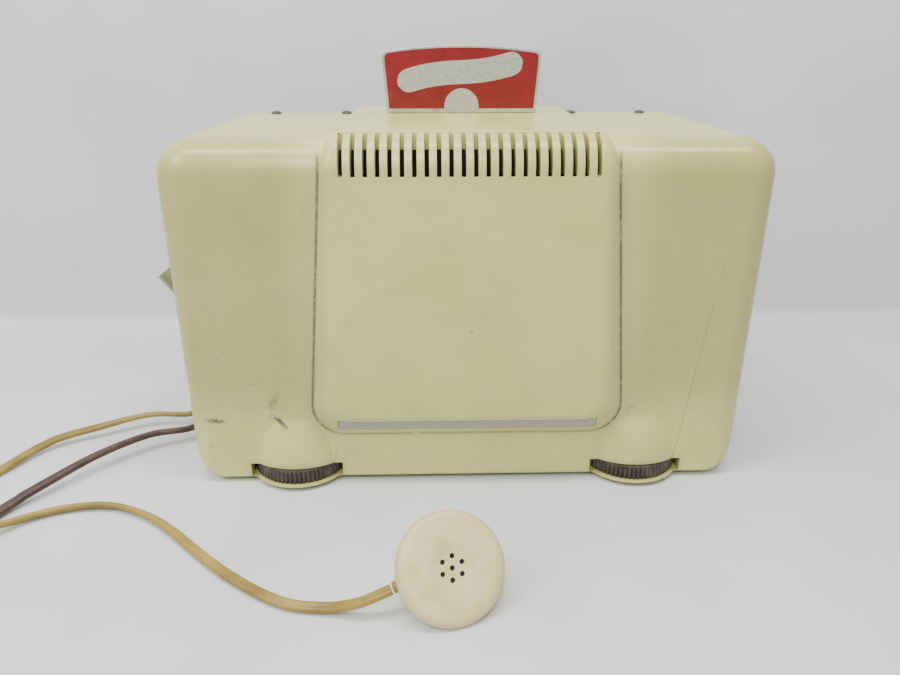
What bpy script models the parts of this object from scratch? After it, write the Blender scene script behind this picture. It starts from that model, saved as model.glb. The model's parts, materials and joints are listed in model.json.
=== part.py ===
"""A coin-operated bedside radio with a pillow speaker.

A moulded plastic case in two shells stands on a steel base plate. Two thumbwheels in the front edge
set the volume and the station, a timer behind the sign counts the coins, and a flat cord leads to a
small round speaker that lies in front of the case.

All sizes are in millimetres, and the helpers turn them into metres. +Z is up, the front faces -Y, and
the origin is at the middle of the base plate's underside.
"""
import math

import bmesh
import bpy
import numpy as np
from mathutils import Vector

MM = 0.001
GAP = 0.3                     # clearance between pieces that touch on the real object

# Case
CASE_WIDTH = 288.0
CASE_TOP = 174.5
CASE_BOTTOM = 2.2
FRONT_Y = -71.0
SEAM_Y = -49.5
REAR_Y = 74.0
WALL = 2.8
CORNER_RADIUS = 17.0          # seen from the front
EDGE_RADIUS = 15.0            # between the front and the sides
FOOT_EDGE_RADIUS = 2.5        # the same edge along the foot
SEAM_GAP = 0.4
FOOT_FLANGE = 6.0             # the rear shell's turned-in lower edge

# Raised panel and the strip that carries it over the top
STRIP_HALF = 61.5
STRIP_RISE = 3.5
PANEL_TOP_HALF = 64.5
PANEL_FOOT_HALF = 68.0
PANEL_RISE_TOP = 4.0
PANEL_RISE_FOOT = 7.0
PANEL_FOOT_Z = 41.0
PANEL_CORNER = 9.0
PANEL_SKIRT_Z = 28.5          # where the panel's lower slope meets the case
PANEL_SKIRT_HALF = 80.0

# Grille in the panel's top edge
SLOT_COUNT = 22
SLOT_PITCH = 5.49
SLOT_WIDTH = 2.0
SLOT_TALL = 18.0
SLOT_DEEP = 8.5

# Dial window in the panel's lower slope
DIAL_WIDTH = 132.0
DIAL_HEIGHT = 7.9
LENS_THICK = 1.2
SCALE_THICK = 0.8
POINTER_TRAVEL = 110.0
POINTER_THICK = 0.8
RAIL_RADIUS = 1.0

# Thumbwheels
WHEEL_INSET = 54.9            # from the case's side to a wheel's axis
WHEEL_PROUD = 8.5             # how far a wheel stands out of the front
WHEEL_RADIUS = 24.5
WHEEL_THICK = 7.0
WHEEL_Z = 3.7
WHEEL_RIBS = 66
RIB_DEPTH = 0.6
LIP_THICK = 1.2
WHEEL_ROOM = 0.8
GUARD_REACH = 1.6             # how far the lip stands out past the wheel
SHAFT_RADIUS = 3.0
SHAFT_CLEAR = 0.4
FAIRING_DEEP = 27.3
FAIRING_TALL = 42.3
FAIRING_SETBACK = 21.0

# Chassis and base
BASE_THICK = 1.6
CHASSIS_Z = 18.0
CHASSIS_THICK = 1.5

# Rear panel
PANEL_STEEL = 1.5
PANEL_SETBACK = 2.0
TOP_FLANGE = 12.5
INNER_SCREW_X = 69.0
OUTER_SCREW_INSET = 32.0
TOP_SCREW_SETBACK = 7.0
SCREW_HEAD_RADIUS = 3.2
SCREW_SHANK_RADIUS = 1.5
REAR_SCREW_X = 66.0
REAR_SCREW_Z = 12.0

# Sign
SIGN_FOOT_WIDTH = 84.0
SIGN_TOP_WIDTH = 88.0
SIGN_SHOULDER = 32.5
SIGN_APEX = 35.5
SIGN_CORNER = 3.0
SIGN_THICK = 1.0
SIGN_Y = 28.0
SIGN_FOOT_DEPTH = 13.0
RIVET_X = 30.0

# Coin works
COIN_WIDTH = 20.5
COIN_GAP = 3.0
COIN_SLOT_Y = 52.0
CHUTE_WALL = 1.5
DRAWER_HALF = 33.0
DRAWER_FRONT_Y = 10.0
DRAWER_HEIGHT = 39.5
DRAWER_WALL = 1.5
DRAWER_FACE_HALF = 36.0
LOCK_DROP = 11.0              # below the drawer face's upper edge
LOCK_RADIUS = 6.0
PLUG_RADIUS = 4.0
CAM_LENGTH = 15.0
GEAR_MODULE = 1.0
TIMER_TEETH = 50
PINION_TEETH = 10
TIMER_X = 78.0
TIMER_Z = 95.0
TIMER_Y = 22.0
GEAR_THICK = 3.0
BRACKET_Y = 34.0
BRACKET_THICK = 1.5
MOTOR_RADIUS = 20.0
MOTOR_DEPTH = 22.0
CAM_HUB_RADIUS = 10.0

# Radio works
TUBE_RADIUS = 9.5
TUBE_HEIGHT = 54.0
TUBE_PLACES = ((-105.0, -20.0), (-78.0, -20.0), (-105.0, 12.0), (-78.0, 12.0), (-105.0, 44.0))
CAN_SIDE = 19.0
CAN_HEIGHT = 50.0
CAN_PLACES = ((-48.0, -24.0), (36.0, -24.0))
FILTER_PLACE = (-72.0, 44.0)
FILTER_RADIUS = 12.5
FILTER_HEIGHT = 60.0
GANG_RADIUS = 12.5
GANG_PLATES = 3
GANG_PITCH = 6.0
GANG_PLATE = 1.0

# Pillow speaker
PILLOW_RADIUS = 23.0
PILLOW_X = -10.8
PILLOW_Y = -163.3
PILLOW_Z = 18.5
PILLOW_LEAN = 37.0            # degrees back from upright
PILLOW_YAW = 18.0             # degrees round to the right
PILLOW_DEEP = 12.0
PILLOW_TAIL_RADIUS = 13.0
PILLOW_WALL = 2.0
PILLOW_HOLE_RADIUS = 0.95
PILLOW_HOLE_RING = 4.6
PILLOW_HOLES = 6
RELIEF_ANGLE = 187.0          # degrees round the speaker, from its right
RELIEF_RADIUS = 2.7

# Cords
POWER_CORD = 5.4
SPEAKER_CORD = 4.8
GLAND_Z = 14.0
POWER_GLAND_INSET = 28.0
SPEAKER_GLAND_INSET = 48.0
GLAND_LENGTH = 26.0
GLAND_RADIUS = 5.5
POWER_ROUTE = (
    (-116.0, 98.6, 14.0), (-116.2, 108.0, 12.6), (-119.0, 121.0, 7.5), (-127.0, 131.5, 3.6),
    (-140.0, 135.5, 3.0), (-152.0, 129.0, 3.0), (-157.5, 113.0, 3.0), (-158.5, 88.0, 3.0),
    (-157.0, 58.0, 3.4), (-154.0, 28.0, 4.6), (-153.0, 2.0, 6.4), (-157.0, -24.2, 8.0),
    (-178.7, -35.6, 9.5), (-198.5, -54.8, 9.0), (-214.7, -77.0, 7.0), (-229.4, -97.8, 4.0),
    (-237.5, -121.0, 3.0), (-239.8, -147.0, 3.0), (-239.0, -172.0, 3.0), (-236.0, -193.6, 3.0))
SPEAKER_ROUTE = (
    (-96.0, 98.6, 14.0), (-96.2, 109.0, 12.8), (-99.0, 124.0, 8.0), (-107.0, 139.0, 3.6),
    (-121.0, 148.5, 3.0), (-139.0, 150.5, 3.0), (-156.0, 145.0, 3.0), (-168.0, 130.0, 3.0),
    (-171.5, 108.0, 3.0), (-171.0, 78.0, 3.0), (-167.0, 44.0, 3.6), (-162.0, 16.0, 5.2),
    (-163.8, -6.2, 7.0), (-188.6, -8.7, 8.0), (-213.0, -21.0, 7.0), (-235.7, -34.3, 5.0),
    (-249.7, -60.7, 3.5), (-255.5, -70.5, 3.0), (-264.0, -77.0, 3.0), (-274.6, -78.4, 3.0))
RETURN_ROUTE = (
    (-253.6, -146.2, 3.2), (-245.0, -136.4, 7.8), (-236.8, -127.6, 9.9), (-229.5, -119.3, 8.2),
    (-222.4, -111.2, 4.8), (-214.0, -103.4, 3.2), (-205.0, -98.4, 3.0), (-195.0, -95.2, 3.0),
    (-183.2, -93.8, 3.0), (-170.0, -95.9, 3.0), (-155.0, -103.6, 3.0), (-141.7, -113.9, 3.0),
    (-130.5, -124.6, 3.0), (-119.9, -134.6, 3.0), (-108.1, -144.9, 3.0), (-95.1, -154.6, 3.0),
    (-83.2, -161.8, 3.0), (-74.0, -165.2, 3.0), (-65.0, -166.6, 3.2), (-56.0, -168.0, 4.6),
    (-48.0, -169.6, 7.6), (-40.8, -169.7, 11.0), (-34.8, -167.6, 12.4))
SPEAKER_COIL = (-286.0, -119.0)
SPEAKER_COIL_RADIUS = 30.0    # to the middle of the turns
SPEAKER_COIL_WIDE = 17.0
SPEAKER_COIL_HIGH = 11.4
POWER_COIL = (-282.0, -203.0)
POWER_COIL_RADIUS = 32.0
POWER_COIL_WIDE = 23.4
POWER_COIL_HIGH = 12.0
PLUG_PLACE = (-282.0, -203.0, 18.4)

# Worked out from the sizes above
CASE_HALF = CASE_WIDTH / 2
STRIP_TOP = CASE_TOP + STRIP_RISE
SLOT_FOOT_Z = STRIP_TOP - SLOT_TALL
SLOT_BACK_Y = FRONT_Y + SLOT_DEEP
WHEEL_X = CASE_HALF - WHEEL_INSET
WHEEL_Y = FRONT_Y - WHEEL_PROUD + WHEEL_RADIUS
NOTCH_WIDTH = 2 * WHEEL_RADIUS - 1.4
FAIRING_HALF = WHEEL_RADIUS + 6.0
FAIRING_Y = FRONT_Y + FAIRING_SETBACK
BASE_HALF = CASE_HALF - CORNER_RADIUS - FOOT_FLANGE - 3.0
BASE_FRONT_Y = WHEEL_Y + WHEEL_RADIUS + 4.5
CHASSIS_FRONT_Y = FRONT_Y + 5.0
OUTER_SCREW_X = CASE_HALF - OUTER_SCREW_INSET
TOP_SCREW_X = (-OUTER_SCREW_X, -INNER_SCREW_X, INNER_SCREW_X, OUTER_SCREW_X)
INNER_TOP = CASE_TOP - WALL
REAR_PANEL_Y = REAR_Y - PANEL_SETBACK - PANEL_STEEL
CHASSIS_TOP = CHASSIS_Z + CHASSIS_THICK
SHAFT_HOLE = SHAFT_RADIUS + SHAFT_CLEAR
DRAWER_FACE_HEIGHT = DRAWER_HEIGHT + 5.5
CHUTE_FOOT_Z = CHASSIS_TOP + 1.0 + DRAWER_HEIGHT + 8.0
POWER_GLAND_X = POWER_GLAND_INSET - CASE_HALF
SPEAKER_GLAND_X = SPEAKER_GLAND_INSET - CASE_HALF
CORD_SHIFT = 144.0 - CASE_HALF     # keeps the cords at the same distance from the case's left side
PILLOW_PLACE = (PILLOW_X + CORD_SHIFT, PILLOW_Y, PILLOW_Z)
PILLOW_TILT = (math.radians(90 - PILLOW_LEAN), 0.0, math.radians(PILLOW_YAW))


# ---------------------------------------------------------------- scene and helpers

def clear_scene():
    for obj in list(bpy.data.objects):
        bpy.data.objects.remove(obj, do_unlink=True)


def new_collection(name):
    group = bpy.data.collections.new(name)
    bpy.context.scene.collection.children.link(group)
    return group


def finish(name, colour, roughness, metallic=0.0):
    """A plain Principled material."""
    material = bpy.data.materials.new(name)
    material.use_nodes = True
    shader = material.node_tree.nodes["Principled BSDF"]
    shader.inputs["Base Color"].default_value = (*colour, 1.0)
    shader.inputs["Roughness"].default_value = roughness
    shader.inputs["Metallic"].default_value = metallic
    return material


def tool_object(name, mesh, place=(0, 0, 0), turn=(0, 0, 0), parent=None):
    """A working object: hidden and drawn as wire until it is kept as a part."""
    obj = bpy.data.objects.new(name, mesh)
    tools.objects.link(obj)
    obj.location = Vector(place) * MM
    obj.rotation_euler = turn
    obj.parent = parent
    obj.hide_render = True
    obj.display_type = "WIRE"
    return obj


def from_bmesh(name, bm, place=(0, 0, 0), turn=(0, 0, 0), parent=None):
    """Turns a bmesh in millimetres into an object in metres."""
    bmesh.ops.scale(bm, vec=(MM, MM, MM), verts=bm.verts)
    mesh = bpy.data.meshes.new(name)
    bm.to_mesh(mesh)
    bm.free()
    return tool_object(name, mesh, place, turn, parent)


def block(size, place, turn=(0, 0, 0), parent=None, round_by=0.0):
    """A box of the given size about its centre, with its edges rounded if asked."""
    bm = bmesh.new()
    bmesh.ops.create_cube(bm, size=1.0)
    bmesh.ops.scale(bm, vec=size, verts=bm.verts)
    if round_by:
        bmesh.ops.bevel(bm, geom=bm.edges, offset=round_by, segments=2, profile=0.5,
                        affect="EDGES", material=-1)
    return from_bmesh("block", bm, place, turn, parent)


def span(x, y, z, parent=None, round_by=0.0):
    """A box between the given low and high values on each axis."""
    size = (x[1] - x[0], y[1] - y[0], z[1] - z[0])
    centre = ((x[0] + x[1]) / 2, (y[0] + y[1]) / 2, (z[0] + z[1]) / 2)
    return block(size, centre, parent=parent, round_by=round_by)


def rod(radius, length, place, turn=(0, 0, 0), parent=None, tip_radius=None, sides=24):
    """A round bar that starts at its place and runs along its own +Z."""
    bm = bmesh.new()
    bmesh.ops.create_cone(bm, cap_ends=True, segments=sides, radius1=radius,
                          radius2=radius if tip_radius is None else tip_radius, depth=length)
    bmesh.ops.translate(bm, vec=(0, 0, length / 2), verts=bm.verts)
    return from_bmesh("rod", bm, place, turn, parent)


def turned(profile, place, turn=(0, 0, 0), parent=None, steps=32, closed=False):
    """A profile of (radius, height) points, outer side from top to bottom, turned about its own Z."""
    bm = bmesh.new()
    points = [bm.verts.new((radius, 0, height)) for radius, height in profile]
    for first, second in zip(points, points[1:]):
        bm.edges.new((first, second))
    if closed:
        bm.edges.new((points[-1], points[0]))
    obj = from_bmesh("turned", bm, place, turn, parent)
    screw = obj.modifiers.new("turn", "SCREW")
    screw.steps = steps
    screw.render_steps = steps
    screw.use_merge_vertices = True
    screw.merge_threshold = 0.00001
    return obj


def outline(points, thickness, place, turn=(0, 0, 0), parent=None):
    """A flat outline in its own XY, given a thickness about that plane."""
    curve = bpy.data.curves.new("outline", "CURVE")
    curve.dimensions = "2D"
    curve.fill_mode = "BOTH"
    curve.extrude = thickness / 2 * MM
    line = curve.splines.new("POLY")
    line.points.add(len(points) - 1)
    for point, (x, y) in zip(line.points, points):
        point.co = (x * MM, y * MM, 0.0, 1.0)
    line.use_cyclic_u = True
    flat = tool_object("outline", curve, place, turn, parent)
    return as_mesh(flat)


def as_mesh(curve_object):
    """Replaces a curve object by a closed mesh object in the same place."""
    bpy.context.view_layer.update()
    evaluated = curve_object.evaluated_get(bpy.context.evaluated_depsgraph_get())
    mesh = bpy.data.meshes.new_from_object(evaluated)
    bm = bmesh.new()
    bm.from_mesh(mesh)
    bmesh.ops.remove_doubles(bm, verts=bm.verts, dist=0.000001)
    bm.to_mesh(mesh)
    bm.free()
    parent = curve_object.parent
    place = curve_object.location / MM
    turn = curve_object.rotation_euler
    obj = tool_object("solid", mesh, place, turn, parent)
    bpy.data.objects.remove(curve_object, do_unlink=True)
    return obj


def combine(target, piece, operation):
    change = target.modifiers.new(operation.lower(), "BOOLEAN")
    change.operation = operation
    change.solver = "EXACT"
    change.object = piece


def fuse(target, *pieces):
    for piece in pieces:
        combine(target, piece, "UNION")


def cut(target, *pieces):
    for piece in pieces:
        combine(target, piece, "DIFFERENCE")


def keep(name, obj, material, angle=35):
    """Makes a working object one of the radio's parts."""
    tools.objects.unlink(obj)
    parts.objects.link(obj)
    obj.name = name
    obj.data.name = name
    obj.hide_render = False
    obj.display_type = "TEXTURED"
    obj.data.materials.clear()
    obj.data.materials.append(material)
    if obj.type == "MESH":
        obj.data.shade_smooth()
        obj.data.set_sharp_from_angle(angle=math.radians(angle))
    return obj


def axis_empty(name, place, turn=(0, 0, 0)):
    """An empty on a moving piece's axis. Its children are placed from there."""
    empty = bpy.data.objects.new(name, None)
    parts.objects.link(empty)
    empty.location = Vector(place) * MM
    empty.rotation_euler = turn
    return empty


def arc(centre, radius, start, end, count):
    """Points on a circle between two angles in degrees."""
    angles = np.radians(np.linspace(start, end, count))
    return [(centre[0] + radius * math.cos(a), centre[1] + radius * math.sin(a)) for a in angles]


def round_rectangle(half_width, low, high, radius, count=5):
    """The outline of a rectangle with round corners, about x = 0, anticlockwise."""
    corners = ((half_width - radius, low + radius, -90), (half_width - radius, high - radius, 0),
               (radius - half_width, high - radius, 90), (radius - half_width, low + radius, 180))
    points = []
    for x, y, start in corners:
        points += arc((x, y), radius, start, start + 90, count)
    return points


# ---------------------------------------------------------------- case

def rounded_block(inset, back):
    """The front shell's outline moved in by the inset, from its front face to the given back."""
    front = FRONT_Y + inset
    depth = back - front
    bm = bmesh.new()
    bmesh.ops.create_cube(bm, size=1.0)
    bmesh.ops.scale(bm, vec=(CASE_WIDTH - 2 * inset, depth, CASE_TOP - CASE_BOTTOM - 2 * inset),
                    verts=bm.verts)
    long_edges = [e for e in bm.edges if abs(e.verts[0].co.y - e.verts[1].co.y) > depth / 2]
    bmesh.ops.bevel(bm, geom=long_edges, offset=CORNER_RADIUS - inset, segments=6, profile=0.5,
                    affect="EDGES", material=-1)
    rim = [e for e in bm.edges if all(v.co.y < 0 for v in e.verts)]
    bmesh.ops.bevel(bm, geom=rim, offset=EDGE_RADIUS - inset, segments=5, profile=0.5,
                    affect="EDGES", material=-1)
    return bm, (0, (front + back) / 2, (CASE_TOP + CASE_BOTTOM) / 2)


def front_tray():
    """The front shell's plain tray, open at the seam: its outside less its hollow."""
    outside, middle = rounded_block(0, SEAM_Y)
    narrow_foot_edge(outside)
    tray = from_bmesh("tray", outside, middle)
    cut(tray, from_bmesh("hollow", *rounded_block(WALL, SEAM_Y + 1.0)))
    return tray


def narrow_foot_edge(bm):
    """Draws the front's rounded edge in along the foot, gradually round the two lower corners."""
    foot = (CASE_BOTTOM - CASE_TOP) / 2
    front = (FRONT_Y - SEAM_Y) / 2
    share = 1 - FOOT_EDGE_RADIUS / EDGE_RADIUS
    for vert in bm.verts:
        drop = foot + CORNER_RADIUS - vert.co.z
        if drop <= 0 or vert.co.y > -front - 0.01:
            continue
        out = max(0.0, abs(vert.co.x) - (CASE_WIDTH / 2 - CORNER_RADIUS))
        reach = math.hypot(out, drop)
        turn = math.atan2(drop, out) / (math.pi / 2)
        narrow = 1 - share * turn * turn * (3 - 2 * turn)
        grow = (CORNER_RADIUS - (CORNER_RADIUS - reach) * narrow) / reach
        vert.co.x += math.copysign(out * (grow - 1), vert.co.x)
        vert.co.z = foot + CORNER_RADIUS - drop * grow
        vert.co.y = front + (vert.co.y - front) * narrow


def panel_sections():
    """The raised panel's rim, from the seam over the top and down round a lower corner.

    Each item is (face half width, face y, face z, skirt half width, skirt y, skirt z).
    """
    sink = 1.0
    face_round = EDGE_RADIUS + 2.0
    face_y = FRONT_Y - PANEL_RISE_TOP + face_round
    face_z = STRIP_TOP - face_round
    skirt_round = EDGE_RADIUS - sink
    skirt_y = FRONT_Y + EDGE_RADIUS
    skirt_z = CASE_TOP - EDGE_RADIUS
    top_skirt = PANEL_TOP_HALF + 4.5
    rows = [(STRIP_HALF, SEAM_Y, STRIP_TOP, STRIP_HALF + 3.0, SEAM_Y, CASE_TOP - sink)]
    for step in range(7):
        angle = math.radians(90 - 15 * step)
        share = step / 6
        rows.append((STRIP_HALF + (PANEL_TOP_HALF - STRIP_HALF) * share,
                     face_y - face_round * math.cos(angle), face_z + face_round * math.sin(angle),
                     STRIP_HALF + 3.0 + (top_skirt - STRIP_HALF - 3.0) * share,
                     skirt_y - skirt_round * math.cos(angle), skirt_z + skirt_round * math.sin(angle)))
    corner_z = PANEL_FOOT_Z + PANEL_CORNER
    skirt_corner = 2 * PANEL_CORNER
    slope = (PANEL_FOOT_Z - PANEL_SKIRT_Z) / PANEL_RISE_FOOT
    skirt_foot = PANEL_SKIRT_Z - sink * slope
    foot_y = FRONT_Y - PANEL_RISE_FOOT
    for step in range(6):
        angle = math.radians(18 * step)
        rows.append((PANEL_FOOT_HALF - PANEL_CORNER * (1 - math.cos(angle)), foot_y,
                     corner_z - PANEL_CORNER * math.sin(angle),
                     PANEL_SKIRT_HALF - skirt_corner * (1 - math.cos(angle)), FRONT_Y + sink,
                     skirt_foot + skirt_corner * (1 - math.sin(angle))))
    return rows


def raised_panel():
    """A loft across the rim's sections, with a small round between the face and its sides."""
    bm = bmesh.new()
    rings = []
    for face_half, face_y, face_z, skirt_half, skirt_y, skirt_z in panel_sections():
        corner = Vector((face_half, face_y, face_z))
        skirt = Vector((skirt_half, skirt_y, skirt_z))
        inset = corner - Vector((3.0, 0, 0))
        side = corner.lerp(skirt, min(0.5, 3.0 / (skirt - corner).length))
        middle = side.lerp(inset, 0.5).lerp(corner, 0.5)
        right = [skirt, side, middle, inset]
        left = [Vector((-p.x, p.y, p.z)) for p in reversed(right)]
        rings.append([bm.verts.new(p) for p in right + left])
    for ring, following in zip(rings, rings[1:]):
        for i in range(len(ring)):
            j = (i + 1) % len(ring)
            bm.faces.new((ring[i], ring[j], following[j], following[i]))
    bm.faces.new(rings[0])
    bm.faces.new(rings[-1])
    bmesh.ops.recalc_face_normals(bm, faces=bm.faces)
    return from_bmesh("panel", bm)


def fairing(side):
    """The smooth bulge over a thumbwheel: the part of an egg in front of the case's face."""
    bm = bmesh.new()
    bmesh.ops.create_uvsphere(bm, u_segments=28, v_segments=14, radius=1.0)
    bmesh.ops.scale(bm, vec=(FAIRING_HALF, FAIRING_DEEP, FAIRING_TALL), verts=bm.verts)
    inside = FRONT_Y + 1.5 - FAIRING_Y
    for point, away in (((0, inside, 0), (0, 1, 0)), ((0, 0, 0), (0, 0, -1))):
        geometry = bm.verts[:] + bm.edges[:] + bm.faces[:]
        split = bmesh.ops.bisect_plane(bm, geom=geometry, plane_co=point, plane_no=away,
                                       clear_outer=True, dist=0.0001)
        rim = [e for e in split["geom_cut"] if isinstance(e, bmesh.types.BMEdge)]
        bmesh.ops.holes_fill(bm, edges=rim)
    return from_bmesh("fairing", bm, (side * WHEEL_X, FAIRING_Y, WHEEL_Z + WHEEL_THICK + GAP))


def wheel_guard(side):
    """The lip of the case that runs on forward under a thumbwheel."""
    reach = WHEEL_RADIUS + GUARD_REACH
    back = SEAM_Y - 2.0 - WHEEL_Y
    start = math.degrees(math.asin(-back / reach))
    points = arc((0, 0), reach, 180 - start, 360 + start, 25)
    middle = CASE_BOTTOM + LIP_THICK / 2
    points = [(x, min(y, back)) for x, y in points]
    return outline(points, LIP_THICK, (side * WHEEL_X, WHEEL_Y, middle))


def dial_empty():
    """The middle of the dial window, turned so that its own Z runs up the slope and Y runs inward."""
    share = 0.47
    height = PANEL_SKIRT_Z + (PANEL_FOOT_Z - PANEL_SKIRT_Z) * share
    depth = FRONT_Y - PANEL_RISE_FOOT * share
    tilt = math.atan2(PANEL_RISE_FOOT, PANEL_FOOT_Z - PANEL_SKIRT_Z)
    return axis_empty("dial_place", (0, depth, height), (tilt, 0, 0))


def grille_slots():
    first = -(SLOT_COUNT - 1) / 2 * SLOT_PITCH
    half = SLOT_WIDTH / 2
    centres = [first + i * SLOT_PITCH for i in range(SLOT_COUNT)]
    return [span((x - half, x + half), (FRONT_Y - 12, SLOT_BACK_Y), (SLOT_FOOT_Z, STRIP_TOP + 4))
            for x in centres]


def one_object(pieces):
    """Joins pieces that stand apart into one cutter."""
    bm = bmesh.new()
    for piece in pieces:
        first = len(bm.verts)
        bm.from_mesh(piece.data)
        bm.verts.ensure_lookup_table()
        bmesh.ops.translate(bm, vec=piece.location, verts=bm.verts[first:])
        bpy.data.objects.remove(piece, do_unlink=True)
    mesh = bpy.data.meshes.new("slots")
    bm.to_mesh(mesh)
    bm.free()
    return tool_object("slots", mesh)


def front_shell(dial):
    shell = front_tray()
    fuse(shell, raised_panel())
    for side in (-1, 1):
        fuse(shell, fairing(side), wheel_guard(side))
    for side in (-1, 1):
        middle = side * WHEEL_X
        lip_top = CASE_BOTTOM + LIP_THICK
        notch_top = WHEEL_Z + WHEEL_THICK + GAP
        cut(shell, span((middle - NOTCH_WIDTH / 2, middle + NOTCH_WIDTH / 2),
                        (FRONT_Y - 14, SEAM_Y + 4), (lip_top, notch_top)))
        cut(shell, rod(WHEEL_RADIUS + WHEEL_ROOM, notch_top - lip_top,
                       (middle, WHEEL_Y, lip_top), sides=48))
    cut(shell, span((-56, 56), (FRONT_Y - 1.3, SEAM_Y), (50, SLOT_FOOT_Z)))
    cut(shell, one_object(grille_slots()))
    cut(shell, block((DIAL_WIDTH, 20, DIAL_HEIGHT), (0, 3, 0), parent=dial))
    keep("front_shell", shell, plastic)


def rear_outline():
    """The rear shell seen from the front, from its lower right edge round to its lower left one."""
    radius = CORNER_RADIUS
    flat = CASE_HALF - radius
    right = [(flat - FOOT_FLANGE, CASE_BOTTOM)]
    right += arc((flat, CASE_BOTTOM + radius), radius, -90, 0, 7)
    right += arc((flat, CASE_TOP - radius), radius, 0, 90, 7)
    return right + [(-x, z) for x, z in reversed(right)]


def rear_shell():
    front = SEAM_Y + SEAM_GAP
    bm = bmesh.new()
    line = [bm.verts.new((x, front, z)) for x, z in rear_outline()]
    edges = [bm.edges.new(pair) for pair in zip(line, line[1:])]
    grown = bmesh.ops.extrude_edge_only(bm, edges=edges)["geom"]
    moved = [v for v in grown if isinstance(v, bmesh.types.BMVert)]
    bmesh.ops.translate(bm, vec=(0, REAR_Y - front, 0), verts=moved)
    if sum(f.normal.z * f.calc_center_median().z for f in bm.faces) < 0:
        bmesh.ops.reverse_faces(bm, faces=bm.faces)
    shell = from_bmesh("rear", bm)
    wall = shell.modifiers.new("wall", "SOLIDIFY")
    wall.thickness = WALL * MM
    wall.offset = -1
    fuse(shell, span((-STRIP_HALF, STRIP_HALF), (front, REAR_Y), (CASE_TOP - 1, STRIP_TOP)))
    slot = (COIN_SLOT_Y - 2.5, COIN_SLOT_Y + 2.5)
    cut(shell, span((-COIN_WIDTH / 2 - 1, COIN_WIDTH / 2 + 1), slot, (INNER_TOP - 4, STRIP_TOP + 4)))
    for x in TOP_SCREW_X:
        cut(shell, rod(SCREW_SHANK_RADIUS + 0.4, 12, (x, REAR_Y - TOP_SCREW_SETBACK, INNER_TOP - 4)))
    for x in (-RIVET_X, RIVET_X):
        cut(shell, rod(1.9, 12, (x, SIGN_Y + SIGN_FOOT_DEPTH / 2 + 1, INNER_TOP - 4), sides=12))
    keep("rear_shell", shell, plastic)


def base_plate():
    back = REAR_PANEL_Y - 2 * GAP
    plate = span((-BASE_HALF, BASE_HALF), (BASE_FRONT_Y, back), (0, BASE_THICK))
    keep("base_plate", plate, dark_steel)


def rear_panel():
    inner = CASE_HALF - WALL - 0.4
    radius = CORNER_RADIUS - WALL
    low = CASE_BOTTOM + WALL + 0.4
    points = round_rectangle(inner, low, INNER_TOP - 0.4, radius)
    plate = outline(points, PANEL_STEEL, (0, REAR_PANEL_Y + PANEL_STEEL / 2, 0),
                    (math.radians(90), 0, 0))
    flange_y = (REAR_PANEL_Y - TOP_FLANGE, REAR_PANEL_Y + PANEL_STEEL / 2)
    flange_z = (INNER_TOP - 0.4 - PANEL_STEEL, INNER_TOP - 0.4)
    fuse(plate, span((-OUTER_SCREW_X - 8, OUTER_SCREW_X + 8), flange_y, flange_z))
    face_top = CHASSIS_TOP + 1.0 + DRAWER_FACE_HEIGHT
    cut(plate, span((-DRAWER_FACE_HALF - 0.5, DRAWER_FACE_HALF + 0.5),
                    (REAR_PANEL_Y - 4, REAR_Y + 2), (CHASSIS_TOP + 0.5, face_top + 0.5)))
    for x, hole in ((POWER_GLAND_X, GLAND_RADIUS), (SPEAKER_GLAND_X, GLAND_RADIUS)):
        cut(plate, along_y(hole - 1.0 + GAP, 10, (x, REAR_PANEL_Y - 4, GLAND_Z)))
    for row in range(5):
        height = 92 + 12 * row
        for side in (-1, 1):
            cut(plate, span((side * 75 - 40, side * 75 + 40), (REAR_PANEL_Y - 4, REAR_Y + 2),
                            (height, height + 4)))
    for x in TOP_SCREW_X:
        cut(plate, rod(SCREW_SHANK_RADIUS + GAP, 12, (x, REAR_Y - TOP_SCREW_SETBACK, INNER_TOP - 8)))
    for side in (-1, 1):
        cut(plate, along_y(SCREW_SHANK_RADIUS + GAP, 12, (side * REAR_SCREW_X, REAR_PANEL_Y - 6,
                                                         REAR_SCREW_Z)))
    keep("rear_panel", plate, grey_steel)


def along_y(radius, length, place, tip_radius=None, parent=None, sides=24):
    """A round bar that starts at its place and runs along +Y."""
    return rod(radius, length, place, (math.radians(-90), 0, 0), parent, tip_radius, sides)


def screw_profile(shank):
    """A round head above a shank, outer side from top to bottom."""
    dome = [(SCREW_HEAD_RADIUS * math.sin(a), 1.6 * math.cos(a))
            for a in np.radians((0, 35, 70))]
    return dome + [(SCREW_HEAD_RADIUS, 0.0), (SCREW_SHANK_RADIUS, 0.0),
                   (SCREW_SHANK_RADIUS, -shank), (0.0, -shank)]


def screws():
    for number, x in enumerate(TOP_SCREW_X, start=1):
        place = (x, REAR_Y - TOP_SCREW_SETBACK, CASE_TOP + GAP)
        keep(f"top_screw_{number}", turned(screw_profile(9), place, steps=12), dark_steel)
    for number, side in enumerate((-1, 1), start=1):
        place = (side * REAR_SCREW_X, REAR_PANEL_Y + PANEL_STEEL + GAP, REAR_SCREW_Z)
        screw = turned(screw_profile(7), place, (math.radians(-90), 0, 0), steps=12)
        keep(f"rear_screw_{number}", screw, dark_steel)


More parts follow.
